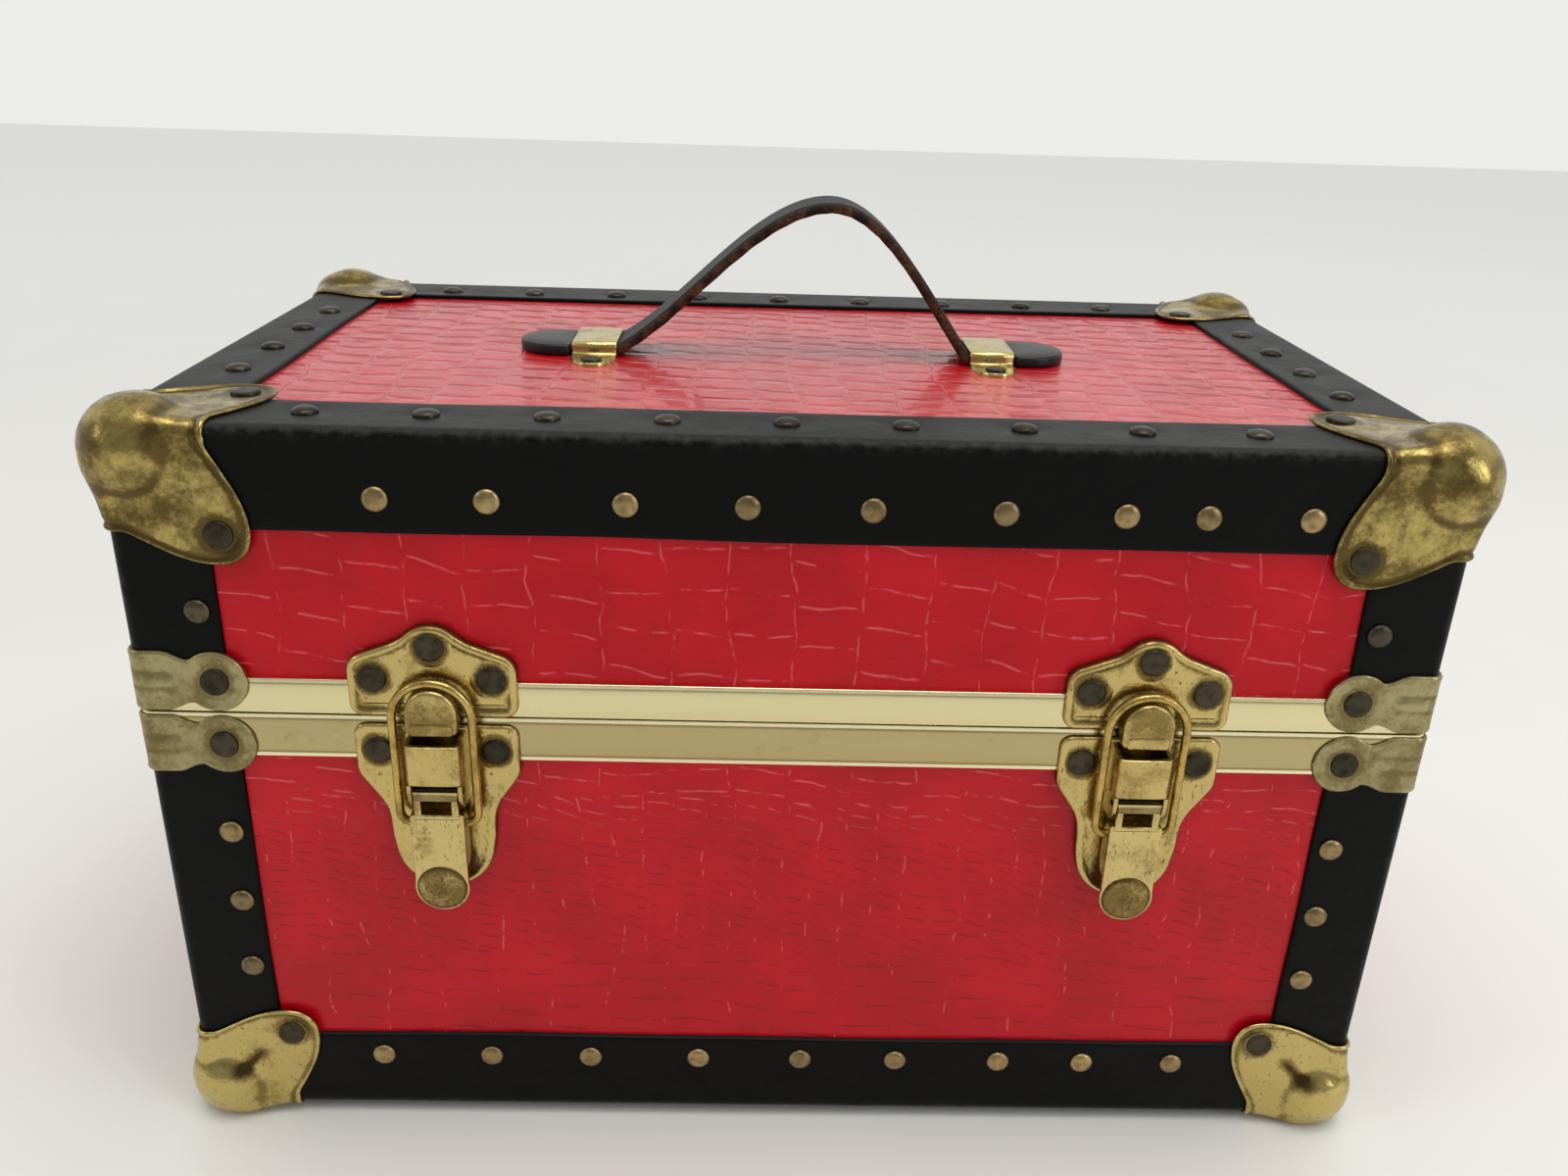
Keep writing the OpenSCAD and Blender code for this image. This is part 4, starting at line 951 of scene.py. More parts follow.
def band_strip(shell, top, side, seed):
    """One mitred strip that wraps an edge of the case: wall part, rounded edge, flat part."""
    along_x = side in ("front", "back")
    half = side_x if along_x else (back_y - front_y) / 2
    middle = 0.0 if along_x else mid_y
    steps = max(60, int(2 * half / 2.6))
    s = np.linspace(-1, 1, steps)[:, None]
    # down the profile: inset from the wall's plane, and depth below the case's flat face
    wall, turn = BIND_WALL, np.radians(np.linspace(0, 90, 9))
    profile = [(1.7, wall), (0.9, wall + 0.02), (0.35, wall - 0.1), (0.05, wall - 0.45)]
    profile += [(0.0, d) for d in np.linspace(wall - 1.2, EDGE_R + 1, 12)]
    profile += [(EDGE_R * (1 - math.cos(a)), EDGE_R * (1 - math.sin(a))) for a in turn]
    profile += [(d, 0.0) for d in np.linspace(EDGE_R + 1, BIND_FLAT - 1.2, 12)]
    profile += [(BIND_FLAT - 0.45, 0.05), (BIND_FLAT - 0.1, 0.35), (BIND_FLAT, 0.9), (BIND_FLAT, 1.7)]
    d, h = columns(profile)
    x = s * (half - np.maximum(d, 12.5))
    on_flat, on_wall = smoothstep(d, EDGE_R, BIND_FLAT), smoothstep(h, EDGE_R, wall)
    inner = d + on_flat * 0.45 * wave(x, seed, 23)
    lower = h + on_wall * 0.35 * wave(x, seed + 1, 31)
    wall_in = TOP_ROW_IN if top else BOTTOM_ROW_IN
    wall_row, flat_row = (WALL_ROWS.get((side, top), EVEN_ROW), EVEN_ROW) if along_x else (SIDE_ROW, SIDE_ROW)
    wall_spots = [(p - middle, wall_in) for p in wall_row]
    flat_spots = [(p - middle, FLAT_ROW_IN) for p in flat_row]
    sink_wall = dimple(x, h, wall_spots, 0.22, 6.0) * (d < 0.5)
    sink_flat = dimple(x, d, flat_spots, 0.75, 5.2) * (h < 0.5) * top
    ripple = 0.14 * wave(x + d * 0.7, seed + 2, 17) * on_flat * smoothstep(d, BIND_FLAT + 0.5, BIND_FLAT - 4)
    bulge_wall = 0.12 * wave(x, seed + 3, 40) * on_wall * smoothstep(h, wall + 0.5, wall - 6)
    inner = inner + sink_wall - bulge_wall * (d < 0.5)
    lower = lower + sink_flat - np.minimum(ripple, 0.05) * (h < 0.5)
    across = {
        "front": front_y + inner, "back": back_y - inner, "left": -side_x + inner, "right": side_x - inner,
    }[side]
    height = top_z - lower if top else bottom_z + lower
    level = (x + middle, across) if along_x else (across, x + middle)
    points = np.stack(np.broadcast_arrays(*level, height), axis=-1)
    shell.grid(points, wear=edge_rub_and_sheen(d, h) * np.ones_like(x))


def upright_strip(shell, right, back, z0, z1, seed):
    """An L-shaped strip down one corner of the case."""
    turn = np.radians(np.linspace(0, 90, 9))
    legs = list(np.linspace(BIND_UPRIGHT - 1.2, EDGE_R + 1, 9))
    ends = [(BIND_UPRIGHT, 1.7), (BIND_UPRIGHT, 0.9), (BIND_UPRIGHT - 0.1, 0.4), (BIND_UPRIGHT - 0.45, 0.1)]
    profile = ends + [(d, 0.0) for d in legs]
    profile += [(EDGE_R * (1 - math.sin(a)), EDGE_R * (1 - math.cos(a))) for a in turn]
    profile += [(0.0, d) for d in legs[::-1]] + [(y, x) for x, y in ends[::-1]]
    x, y = columns(profile)
    z = np.linspace(z0, z1, max(12, int((z1 - z0) / 3)))[:, None]
    sway = 0.35 * wave(z, seed, 19)
    lean = dimple(np.maximum(x, y), z, [(UPRIGHT_IN, q) for q in BASE_UPRIGHT_Z + LID_UPRIGHT_Z], 0.25, 6.0)
    px = x + smoothstep(x, EDGE_R, BIND_UPRIGHT) * sway + np.where(x < 0.5, lean, 0) + 0.1
    py = y + smoothstep(y, EDGE_R, BIND_UPRIGHT) * sway + np.where(y < 0.5, lean, 0) + 0.1
    points = np.stack(np.broadcast_arrays(px, py, z - bottom_z), axis=-1)
    shell.grid(at_corner(right, back, False, points), wear=edge_rub_and_sheen(x, y) * np.ones_like(z))


def make_bindings():
    for level, top in (("lid", True), ("base", False)):
        band = Shell()
        for number, side in enumerate(SIDES):
            band_strip(band, top, side, 60 + 10 * number + top)
        node = "lid_top_binding" if top else "base_bottom_binding"
        band.build(node + "_skin", level, skin, "black_binding", node, 50)
        uprights = Shell()
        low, high = (lid_rail_high, lid_low.z + 6) if top else (band_high.z - 6, base_rail_low)
        for number, (right, back) in enumerate(CORNERS):
            upright_strip(uprights, right, back, low, high, 90 + number)
        node = level + "_upright_binding"
        uprights.build(node + "_skin", level, skin, "black_binding", node, 50)


make_bindings()

# ---- handle ----

ARCH_FROM, ARCH_TO, CROWN_X, CROWN_H = -56.0, 55.2, 10.5, 49.0
STRAP_MID = STRAP_T / 2 + 0.35
STRAP_END = LOOP_X + 7.5
BAND_W, BAND_T = 14.0, 0.9
LOOP_HALF = STRAP_W / 2 + LOOP_PLAY
LOOP_TOP = STRAP_T + 0.7
PADDLE_R, PADDLE_LEN = 12.25, 17.0
# the part of a strap end that stays hidden in its loop until the ends are pushed out
TAIL_LEN, TAIL_HALF, TAIL_THICK = 13.0, STRAP_W / 2 - 0.45, 2.6
TAIL_SECTION = [(-1, -0.8), (-0.98, -1), (0.98, -1), (1, -0.8), (1, 0.6)]
TAIL_SECTION += [(0.96, 0.95), (0, 1), (-0.96, 0.95), (-1, 0.6)]


def arch_height(x):
    """Height of the strap's middle line above its flat ends, as in the CAD source."""

    def swell(t, fullness):
        t = np.clip(t, 0, 1)
        return fullness * np.sin(t * math.pi / 2) + (1 - fullness) * (3 * t * t - 2 * t**3)

    left = swell((x - ARCH_FROM) / (CROWN_X - ARCH_FROM), 0.5)
    right = swell((ARCH_TO - x) / (ARCH_TO - CROWN_X), 0.88)
    return (CROWN_H - STRAP_MID - STRAP_T / 2) * np.where(x < CROWN_X, left, right)


def make_strap():
    x = np.concatenate([
        np.linspace(-STRAP_END, ARCH_FROM - 0.8, 7),
        CROWN_X + (ARCH_FROM - CROWN_X) * np.linspace(1, 0, 46) ** 1.15,
        CROWN_X + (ARCH_TO - CROWN_X) * np.linspace(0.03, 1, 46) ** 0.9,
        np.linspace(ARCH_TO + 0.8, STRAP_END, 7),
    ])
    z = arch_height(x)
    for _ in range(2):
        z[1:-1] = (z[:-2] + 2 * z[1:-1] + z[2:]) / 4
    line = np.stack([x, z], axis=1)
    run = np.gradient(line, axis=0)
    run /= np.linalg.norm(run, axis=1, keepdims=True)
    lean = np.stack([-run[:, 1], run[:, 0]], axis=1)
    # section: softly rounded top corners, squarer raw lower edges, slightly cupped
    half, thick = STRAP_W / 2, STRAP_T / 2
    right = [(0.0, -thick), (half * 0.3, -thick), (half * 0.62, -thick), (half * 0.9, -thick)]
    right += [(half - 0.3, -thick + 0.04), (half, -thick + 0.35), (half + 0.02, 0.0), (half, thick - 0.9)]
    right += [(half - 0.3, thick - 0.3), (half - 0.95, thick - 0.03)]
    right += [(half * q, thick) for q in (0.8, 0.55, 0.28, 0.0)]
    section = mirrored(right)[:-1]
    loops, tops = [], []
    for k, ((along, up), (lean_x, lean_z)) in enumerate(zip(line, lean)):
        rough = 0.16 * math.sin(k * 2.1) + 0.12 * math.sin(k * 0.83 + 1)
        sway = mid_y + 0.25 * wave(along, 5, 30)
        ring = []
        for number, (a, b) in enumerate(section):
            tops.append(1.0 if b > thick - 0.5 else 0.0)
            if b < thick - 0.35 and abs(a) > half * 0.8:
                a += math.copysign(rough, a) * 0.8
            if b > 0:
                b -= 0.12 * (1 - (section[number][0] / half) ** 2)
            elif b < -thick + 0.1:
                b += 0.08 * math.sin(k * 1.3 + number)
            ring.append((along + lean_x * b, sway + a, lid_face + STRAP_MID + up + lean_z * b))
        loops.append(ring)
    shell = Shell()
    shell.rings(loops, top=np.array(tops))
    strap = shell.build("handle_strap_leather", "lid", strap_leather, "strap_leather", "handle_strap", 55)
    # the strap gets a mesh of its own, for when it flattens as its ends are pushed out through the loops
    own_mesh(strap)


def make_paddle(name, way):
    """Half-round end of black leather, with the tail that is drawn out of the loop as the strap flattens."""
    start, straight = STRAP_END + 0.15, PADDLE_LEN - PADDLE_R
    round_end = arc(straight, 0, PADDLE_R, -90, 90, 33)[1:-1]
    outline = [(0.0, -PADDLE_R, 1.2), (straight, -PADDLE_R, 0.4), *plain(round_end)]
    outline += [(straight, PADDLE_R, 0.4), (0.0, PADDLE_R, 1.2)]
    outline = resample(fillet(outline), 1.1)
    profile = [(0.5, 0.0), (0.08, 0.25), (0.0, 1.0), (0.05, 2.6), (0.35, 3.15)]
    profile += [(0.9, 3.4), (1.9, 3.3), (2.4, 3.45), (4.0, 3.62), (7.0, 3.75)]
    centre = np.array([PADDLE_LEN * 0.45, 0])
    rings = []
    for d, w in profile:
        x, y = (outline + (centre - outline) * d / PADDLE_R).T
        rings.append(np.column_stack([way * (start + x), mid_y + y, np.full(len(x), lid_face + 0.3 + w)]))
    shell = Shell()
    shell.rings(rings)
    section = [(mid_y + a * TAIL_HALF, lid_face + STRAP_MID + b * TAIL_THICK / 2) for a, b in TAIL_SECTION]
    shell.rings([[(way * x, y, z) for y, z in section] for x in (start + 1.5, start - TAIL_LEN)])
    body = name + "_paddle_body"
    shell.build(name + "_paddle_leather", body, paddle_leather, "paddle_leather", name + "_paddle", 60)


def make_loop(name, centre_x):
    """Brass band bent over the strap, with creased bends, and a round foot riveted down on each side."""
    shell = Shell()
    bend, t = 1.3, BAND_T / 2
    # middle line of the band in the (y, z) plane, from the front foot over the strap to the back foot
    mid_half, mid_top = LOOP_HALF + t, LOOP_TOP + t
    path = [(-LOOP_HALF - 4.6, 0.5), *arc(-mid_half - bend, 0.5 + bend, bend, 270, 360, 6)]
    path += arc(-mid_half + bend, mid_top - bend, bend, 180, 90, 7)
    path += [(-mid_half * q, mid_top) for q in (0.6, 0.2)]
    normal = [(0, 1), *arc(0, 0, -1, 270, 360, 6), *arc(0, 0, 1, 180, 90, 7), (0, 1), (0, 1)]
    loops = []
    for (y, z), (ny, nz) in zip(mirrored(path, 0), mirrored(normal, 0)):
        pinch = 0.35 if z > 1.2 else 0.0
        w = BAND_W / 2 - pinch * gauss(z - mid_top + 2.2, 1.0)
        section = [(-w, t - 0.25), (-w + 0.3, t), (0, t), (w - 0.3, t), (w, t - 0.25)]
        section += [(w, -t + 0.2), (w - 0.2, -t), (0, -t), (-w + 0.2, -t), (-w, -t + 0.2)]
        loops.append([(centre_x + a, mid_y + y + ny * b, lid_face + z + nz * b) for a, b in section])
    shell.rings(loops, wear=0.1)
    neck = [(BAND_W / 2, 1.2, 0.2), (BAND_W / 2, 4.6, 1.8)]
    round_end = arc(0, LOOP_FOOT - LOOP_FOOT_R - 0.2, LOOP_FOOT_R, 0, 180, 25)
    outline = fillet(neck + plain(round_end) + [(-x, y, r) for x, y, r in neck[::-1]])
    profile = [(0.0, -0.1), (0.0, 0.7), (0.25, 1.0), (0.9, 1.02), (1.4, 0.9), (2.0, 0.88)]
    foot = plate_rings(resample(outline, 0.8), profile)
    for way in (-1, 1):
        rings = [(centre_x + q[:, 0], mid_y + way * (LOOP_HALF + q[:, 1]), lid_face + q[:, 2]) for q in foot]
        shell.rings([np.column_stack(ring) for ring in rings], wear=0.25)
    shell.build(name + "_loop_band", "lid", loop_brass, "brass_hardware", name + "_handle_loop", 45)


make_strap()
for name, way in (("left", -1), ("right", 1)):
    make_paddle(name, way)
    make_loop(name, way * LOOP_X)

# ---- latches ----

KEEPER_HALF = [(22.8, 0.5, 3.6), (22.8, 17.6, 5.2), (9.6, 22.6, 12.0)]
KEEPER_CROWN = plain(arc(0, 18.4, 9.2, 44, 136, 18))
SHIELD_HALF = [(22.5, -2.0, 3.6), (22.5, -17.4, 6.5), (14.9, -28.5, 15.0), (14.5, -38.0, 9.0)]
SHIELD_TIP = plain(arc(0, -41, 13.9, -8, -172, 24))
FULCRUM_UP, FULCRUM_OUT, BAR_UP, BAR_OUT = -19.8, 6.0, -31.0, 4.5
LEVER_FACE, LEVER_T, LEVER_HALF, NECK_HALF = 7.9, 1.1, 7.5, 6.1
TAB_UP, TAB_R = -50.6, 7.75
BRIDGE_FACE, BRIDGE_TOP, BRIDGE_LOW = 8.3, -5.0, -17.5
BAIL_HALF, BAIL_TOP, BAIL_BEND, BAIL_R = 10.8, 12.4, 3.4, 1.2


def plate_outline(half, crown):
    """The right half's corners, the arc that crosses the middle, and the left half's corners."""
    return fillet(half + crown + [(-x, y, r) for x, y, r in half[::-1]], 9)


def latch_put(centre_x):
    return lambda pts: on("front", np.asarray(pts, float) + [centre_x, seam_z, 0.0])


def laid(shell, put, loops, wear, **ends):
    """Loops put in place, with one share of the darkening mark for each: grime, and at the keeper boss's foot
    painted shade too.
    """
    marks = np.repeat(wear, len(loops[0])) if np.ndim(wear) else wear
    shell.rings([put(loop) for loop in loops], wear=marks, **ends)


def pressed_plate(shell, put, outline, rivets, drawn):
    """A pressed sheet dished at its rivets: rolled rim, with a groove behind it where it is deeply drawn."""
    rim = [(0.0, -1.7), (0.0, 0.6), (0.16, 1.0), (0.6, 1.3), (1.2, 1.36)]
    rim += [(1.8, 1.3), (2.4, 1.2), (3.1, 1.12), (4.0, 1.1)]
    lift = [0, 0, 0.1, 0.22, 0.28, 0.18, -0.1, -0.16, -0.04]
    profile = [(d, w + drawn * q) for (d, w), q in zip(rim, lift)]
    grime = [1, 0.8, 0.6] + [drawn * q for q in (0.35, 0.2, 0.5, 0.9, 0.5, 0.1)]
    laid(shell, put, plate_rings(resample(outline, 0.9), profile), [g * 0.8 for g in grime], cap_start=False)
    for u, v in rivets:
        dish = [circle(u, v, r, w, 26) for r, w in ((6.0, 1.08), (5.2, 1.26), (4.4, 1.42), (3.0, 1.42))]
        laid(shell, put, dish, [0.0, 0.5, 0.8, 0.8], cap_start=False)


def side_plates(shell, put, outline, ease, share, wear):
    """A thin plate on each side of the lever, from a (w, v) outline, with its edges eased."""
    inner = LEVER_HALF - LEVER_T
    for s in (-1, 1):
        loops = []
        for x, less in ((LEVER_HALF, share), (LEVER_HALF - ease, 0.0), (inner + ease, 0.0), (inner, share)):
            loops.append([(s * x, v, w) for w, v in shrunk(outline, less)])
        laid(shell, put, loops, wear)


def make_keeper(name, centre_x):
    put = latch_put(centre_x)
    shell = Shell()
    pressed_plate(shell, put, plate_outline(KEEPER_HALF, KEEPER_CROWN), KEEPER_RIVETS, 1.0)
    # D-shaped boss that the bail hooks over
    crown = plain(arc(0, 3.5, 7.2, 0, 180, 30))
    d_shape = resample(fillet([(7.2, -3.0, 2.0), *crown, (-7.2, -3.0, 2.0)], 6), 0.6)
    profile = [(0.25, 1.0), (0.0, 2.0), (0.0, 5.2), (0.18, 5.8), (0.6, 6.25), (1.2, 6.38), (2.0, 6.4)]
    loops = plate_rings(d_shape, profile)
    for loop in loops[:2]:
        loop[:, 2] = np.where(loop[:, 1] < 1.0, 2.25, loop[:, 2])
    # darker towards the boss's foot on the plate: tarnish, and painted shade where the boss meets the plate
    laid(shell, put, loops, [1, 0.9, 0.6, 0.4, 0.3, 0.5, 0.55])
    # stop tongue across the foot of the boss
    tongue = fillet([(-5.6, -2.7, 0.6), (5.6, -2.7, 0.6), (5.6, 0.9, 1.2), (-5.6, 0.9, 1.2)], 4)
    profile = [(0, 5.9), (0, 6.55), (0.3, 6.75), (0.7, 6.8)]
    laid(shell, put, plate_rings(resample(tongue, 0.7), profile), 0.35)
    shell.build(name + "_keeper_plate", "lid", plate_brass, "brass_hardware", name + "_latch_keeper", 40)


def make_shield(name, centre_x):
    put = latch_put(centre_x)
    shell = Shell()
    pressed_plate(shell, put, plate_outline(SHIELD_HALF, SHIELD_TIP), SHIELD_RIVETS, 0.15)
    # bridge with rounded shoulders, open at both ends
    half, face = LEVER_HALF, BRIDGE_FACE
    heights = [BRIDGE_TOP - 0.02, *np.linspace(BRIDGE_TOP - 0.3, BRIDGE_LOW + 0.3, 12), BRIDGE_LOW]
    ends = (heights[0], heights[-1])
    wall = [(-half, 0.9), (-half, face - 1.6), (-half + 0.35, face - 0.75)]
    loops = []
    for k, height in enumerate(heights):
        soft = 0.5 if height in ends else 0.0
        crown = face + 0.18 * math.sin(math.pi * k / (len(heights) - 1)) - soft * 0.6
        over = mirrored(wall + [(-half + 1.1, face - 0.2 - soft), (-half / 2, crown), (0, crown)])
        loops.append(put([(x, height, w) for x, w in over]))
    shell.grid(loops, wear=0.15)
    under = [(-half + 1.1, 0.9), (-half + 1.1, face - 1.9), (-half + 1.9, face - 1.1), (0, face - 1.0)]
    shell.grid([put([(x, height, w) for x, w in mirrored(under)]) for height in ends], wear=0.9)
    outer = wall + [(-half + 1.1, face - 0.3), (-half / 2, face - 0.1), (0, face - 0.1)]
    inner = [(-half + 1.1, 0.9), (-half + 1.1, face - 1.9), (-half + 1.2, face - 1.5)]
    inner += [(-half + 1.9, face - 1.1), (-half / 2, face - 1.0), (0, face - 1.0)]
    for height in ends:
        for s in (-1, 1):
            shell.grid([put([(s * x, height, w) for x, w in line]) for line in (outer, inner)], wear=0.4)
    # the two ears that carry the pin
    ear_low = FULCRUM_UP - 6.2
    ear = [(0.9, BRIDGE_LOW), (0.9, ear_low + 0.6), (1.6, ear_low), (5.2, ear_low + 0.3)]
    ear += [(7.6, FULCRUM_UP - 2.6), (8.0, FULCRUM_UP + 0.2), (7.9, BRIDGE_LOW)]
    side_plates(shell, put, ear, 0.1, 0.015, 0.25)
    shell.build(name + "_shield_plate", "base", plate_brass, "brass_hardware", name + "_latch_plate", 40)


def make_bail(name, centre_x):
    half, bend, crown, low = BAIL_HALF, BAIL_BEND, BAIL_TOP - BAIL_HALF, BAR_UP + BAIL_BEND
    line = arc(0, crown, half, 0, 180, 34)
    line += [(-half, y) for y in np.linspace(crown, low, 18)[1:]]
    line += arc(-half + bend, low, bend, 190, 270, 8)
    line += [(x, BAR_UP) for x in np.linspace(-half + bend, half - bend, 8)[1:-1]]
    line += arc(half - bend, low, bend, 270, 350, 8)
    line += [(half, y) for y in np.linspace(low, crown, 18)[:-1]]
    loops = closed_tube([(x, y, BAR_OUT) for x, y in line], BAIL_R, 14)
    shell = Shell()
    laid(shell, latch_put(centre_x), loops, 0.1, cap_start=False, cap_end=False)
    body = name + "_bail_body"
    shell.build(name + "_bail_wire", body, bail_brass, "brass_hardware", name + "_bail", 60)


def make_lever(name, centre_x):
    """Rolled knuckle, narrow neck with a slot, folded sides, and a round domed thumb tab."""
    put = latch_put(centre_x)
    shell = Shell()
    face, back = LEVER_FACE, LEVER_FACE - LEVER_T

    def slab(low, high, outer, inner, wear):
        """A sheet between two (w, v) lines, from one x to another."""
        outer, inner = np.array(outer), np.array(inner)
        loops = []
        for x, squeeze in ((low, 0.18), (low + 0.2, 0.0), (high - 0.2, 0.0), (high, 0.18)):
            over, under = outer + (inner - outer) * squeeze, inner + (outer - inner) * squeeze
            loops.append([(x, v, w) for w, v in (*over, *under[::-1])])
        laid(shell, put, loops, wear)

    # knuckle rolled round the pin, and the neck that runs down from it on both sides of the slot
    over, under = (
        arc(FULCRUM_OUT, FULCRUM_UP, r, -200, 10, 18) + [(w, FULCRUM_UP - 2.2), (w, -22.2)]
        for r, w in ((1.9, face), (1.2, back))
    )
    slab(-NECK_HALF, NECK_HALF, over, under, 0.15)
    for low, high in ((-NECK_HALF, -4.2), (4.2, NECK_HALF)):
        slab(low, high, [(face, -22.0), (face, -27.2)], [(back, -22.0), (back, -27.2)], 0.3)
    # strip below the slot, then the tab: one outline, edges rolled, face bowed
    half_outline = [(LEVER_HALF, -26.8, 0.9), (LEVER_HALF, TAB_UP + 3.4, 0.3)]
    half_outline += plain(arc(0, TAB_UP, TAB_R, 14, -90, 16)[:-1]) + [(0, TAB_UP - TAB_R, 0)]
    outline = resample(fillet(mirrored(half_outline), 5), 0.8)
    profile = [(0.3, back), (0.0, back + 0.25), (0.0, face - 0.45)]
    profile += [(0.18, face - 0.12), (0.55, face + 0.02), (1.3, face + 0.06)]
    laid(shell, put, plate_rings(outline, profile), [0.8, 0.5, 0.2, 0.0, 0.0, 0.05])
    # domed thumb pad with a crisp shoulder
    dome = [(7.1, 0.02), (6.9, 0.4), (6.5, 0.62), (5.6, 0.9), (4.2, 1.2), (2.6, 1.4), (1.0, 1.48)]
    dome = [circle(0, TAB_UP, r, face + w, 40) for r, w in dome]
    laid(shell, put, dome, [0.9, 0.9, 0.7, 0.6, 0.6, 0.65, 0.7])
    # folded sides that hold the bail's bar
    side = [(2.5, -30.5), (2.5, TAB_UP + 8.5), (4.2, TAB_UP + 6.6), (face - 0.5, TAB_UP + 6.2)]
    side_plates(shell, put, side + [(face - 0.5, -27.2), (4.0, -27.2)], 0.12, 0.04, 0.35)
    body = name + "_lever_body"
    shell.build(name + "_lever_arm", body, lever_brass, "brass_hardware", name + "_lever", 40)


for name, way in (("left", -1), ("right", 1)):
    make_keeper(name, way * LATCH_X)
    make_shield(name, way * LATCH_X)
    make_bail(name, way * LATCH_X)
    make_lever(name, way * LATCH_X)

# ---- inside: linings, ring rolls and pull tabs ----

LINING_T, LINING_R = 1.0, 4.0
ROLL_COUNT, ROLL_PAD, ROLL_END = 7, 8.0, 3.0
PULL_W, PULL_T = 14.0, 1.5


def rounded_loop(half_x, half_y, radius, z, bow=0.0):
    """A level rounded rectangle about the middle of the case, its sides bowed inwards by bow."""
    corners = []
    for turn, (sx, sy) in enumerate(((1, 1), (-1, 1), (-1, -1), (1, -1))):
        a = math.pi / 2 * turn + np.linspace(0, math.pi / 2, 7)
        centre = np.array([sx * (half_x - radius), sy * (half_y - radius)])
        corners.append(centre + radius * np.stack([np.cos(a), np.sin(a)], axis=1))
    loop = []
    for turn, corner in enumerate(corners):
        start, end = corner[-1], corners[(turn + 1) % 4][0]
        t = np.linspace(0, 1, 22)[1:-1, None]
        a = math.pi / 2 * (turn + 1)
        inwards = -np.array([math.cos(a), math.sin(a)])
        loop += [*corner, *(start + (end - start) * t + inwards * bow * (1 - (2 * t - 1) ** 4))]
    xy = np.array(loop)
    return np.column_stack([xy[:, 0], xy[:, 1] + mid_y, np.full(len(xy), z)])


def make_lining(node, body, way, border, crown):
    """Velvet over a padded board: rolled rim, soft walls and a crowned field inside a border.

    way is 1 where the lining opens upwards, and -1 in the lid.
    """
    low, high = box_mm(node)
    half_x, half_y = high.x, (high.y - low.y) / 2
    rim, floor = (high.z, low.z + LINING_T) if way > 0 else (low.z, high.z - LINING_T)
    deep = abs(rim - floor)
    # steps of inset, depth below the rim and bow of the sides
    steps = [(0.0, 1.0, 0.0), (0.05, 0.3, 0.0), (0.5, 0.0, 0.0)]
    steps += [(LINING_T - 0.5, 0.0, 0.0), (LINING_T, 0.5, 0.1)]
    steps += [(LINING_T, deep * q, 0.7 * math.sin(math.pi * q)) for q in (0.12, 0.25, 0.4, 0.55, 0.7, 0.82)]
    loops = [rounded_loop(half_x - d, half_y - d, 3.5, rim - way * h, bow) for d, h, bow in steps]
    for a in np.radians(np.linspace(0, 90, 6)):
        d = LINING_T + LINING_R * (1 - math.cos(a))
        h = deep - LINING_R * (1 - math.sin(a))
        loops.append(rounded_loop(half_x - d, half_y - d, LINING_R, rim - way * h))
    field_x, field_y = half_x - LINING_T - border, half_y - LINING_T - border
    for out, lift in ((1.2, 0.3), (0.0, -0.4)):
        loops.append(rounded_loop(field_x + out, field_y + out, LINING_R, floor + way * lift))
    for q in (1.0, 0.985, 0.95, 0.88, 0.76, 0.6, 0.4, 0.2, 0.03):
        z = floor + way * crown * (1 - q**4) ** 0.5
        loops.append(rounded_loop((field_x - 0.6) * q, (field_y - 0.6) * q, LINING_R * q, z))
    shell = Shell()
    shell.rings(loops, cap_start=False)
    shell.build(node + "_velvet", body, wine_velvet, "lining_cloth", node, 60)


def make_ring_rolls():
    """Foam rolls in velvet, pressed against one another so that rings are held in the slits between them."""
    low, high = box_mm("tray_ring_rolls")
    pitch, deep, tall = (high.x - low.x) / ROLL_COUNT, high.y - low.y, high.z - low.z
    t = np.concatenate([[-0.995, -0.97, -0.93], np.linspace(-0.86, 0.86, 13), [0.93, 0.97, 0.995]])
    across = ((np.arange(ROLL_COUNT) + 0.5)[:, None] * pitch + t[None, :] * pitch / 2).reshape(-1)
    bulge = np.tile((1 - np.abs(t) ** 2.4) ** 0.5, ROLL_COUNT)
    which = np.repeat(np.arange(ROLL_COUNT), len(t))
    ends = np.array([0.0, 0.05, 0.4, 1.0, 1.9, ROLL_END])
    along = np.concatenate([ends, np.linspace(5, deep - 5, 14), deep - ends[::-1]])[:, None]
    end = np.minimum(along, deep - along)
    rounding = 1 - np.sqrt(np.clip(1 - (1 - np.clip(end / ROLL_END, 0, 1)) ** 2, 0, 1))
    sag = 0.35 * np.stack([wave(along[:, 0], 300 + k, 14) for k in range(ROLL_COUNT)], axis=1)[:, which]
    z = ROLL_PAD + (tall - ROLL_PAD - 0.5 + sag) * bulge[None, :] - ROLL_END * rounding
    z[[0, -1]] = 0.0
    z[:, [0, -1]] = 0.0
    points = np.stack(np.broadcast_arrays(low.x + across[None, :], low.y + along, low.z + z), axis=-1)
    shell = Shell()
    shell.grid(points)
    rolls = shell.build("tray_ring_rolls_velvet", "tray", roll_velvet, "ring_foam", "tray_ring_rolls", 75)


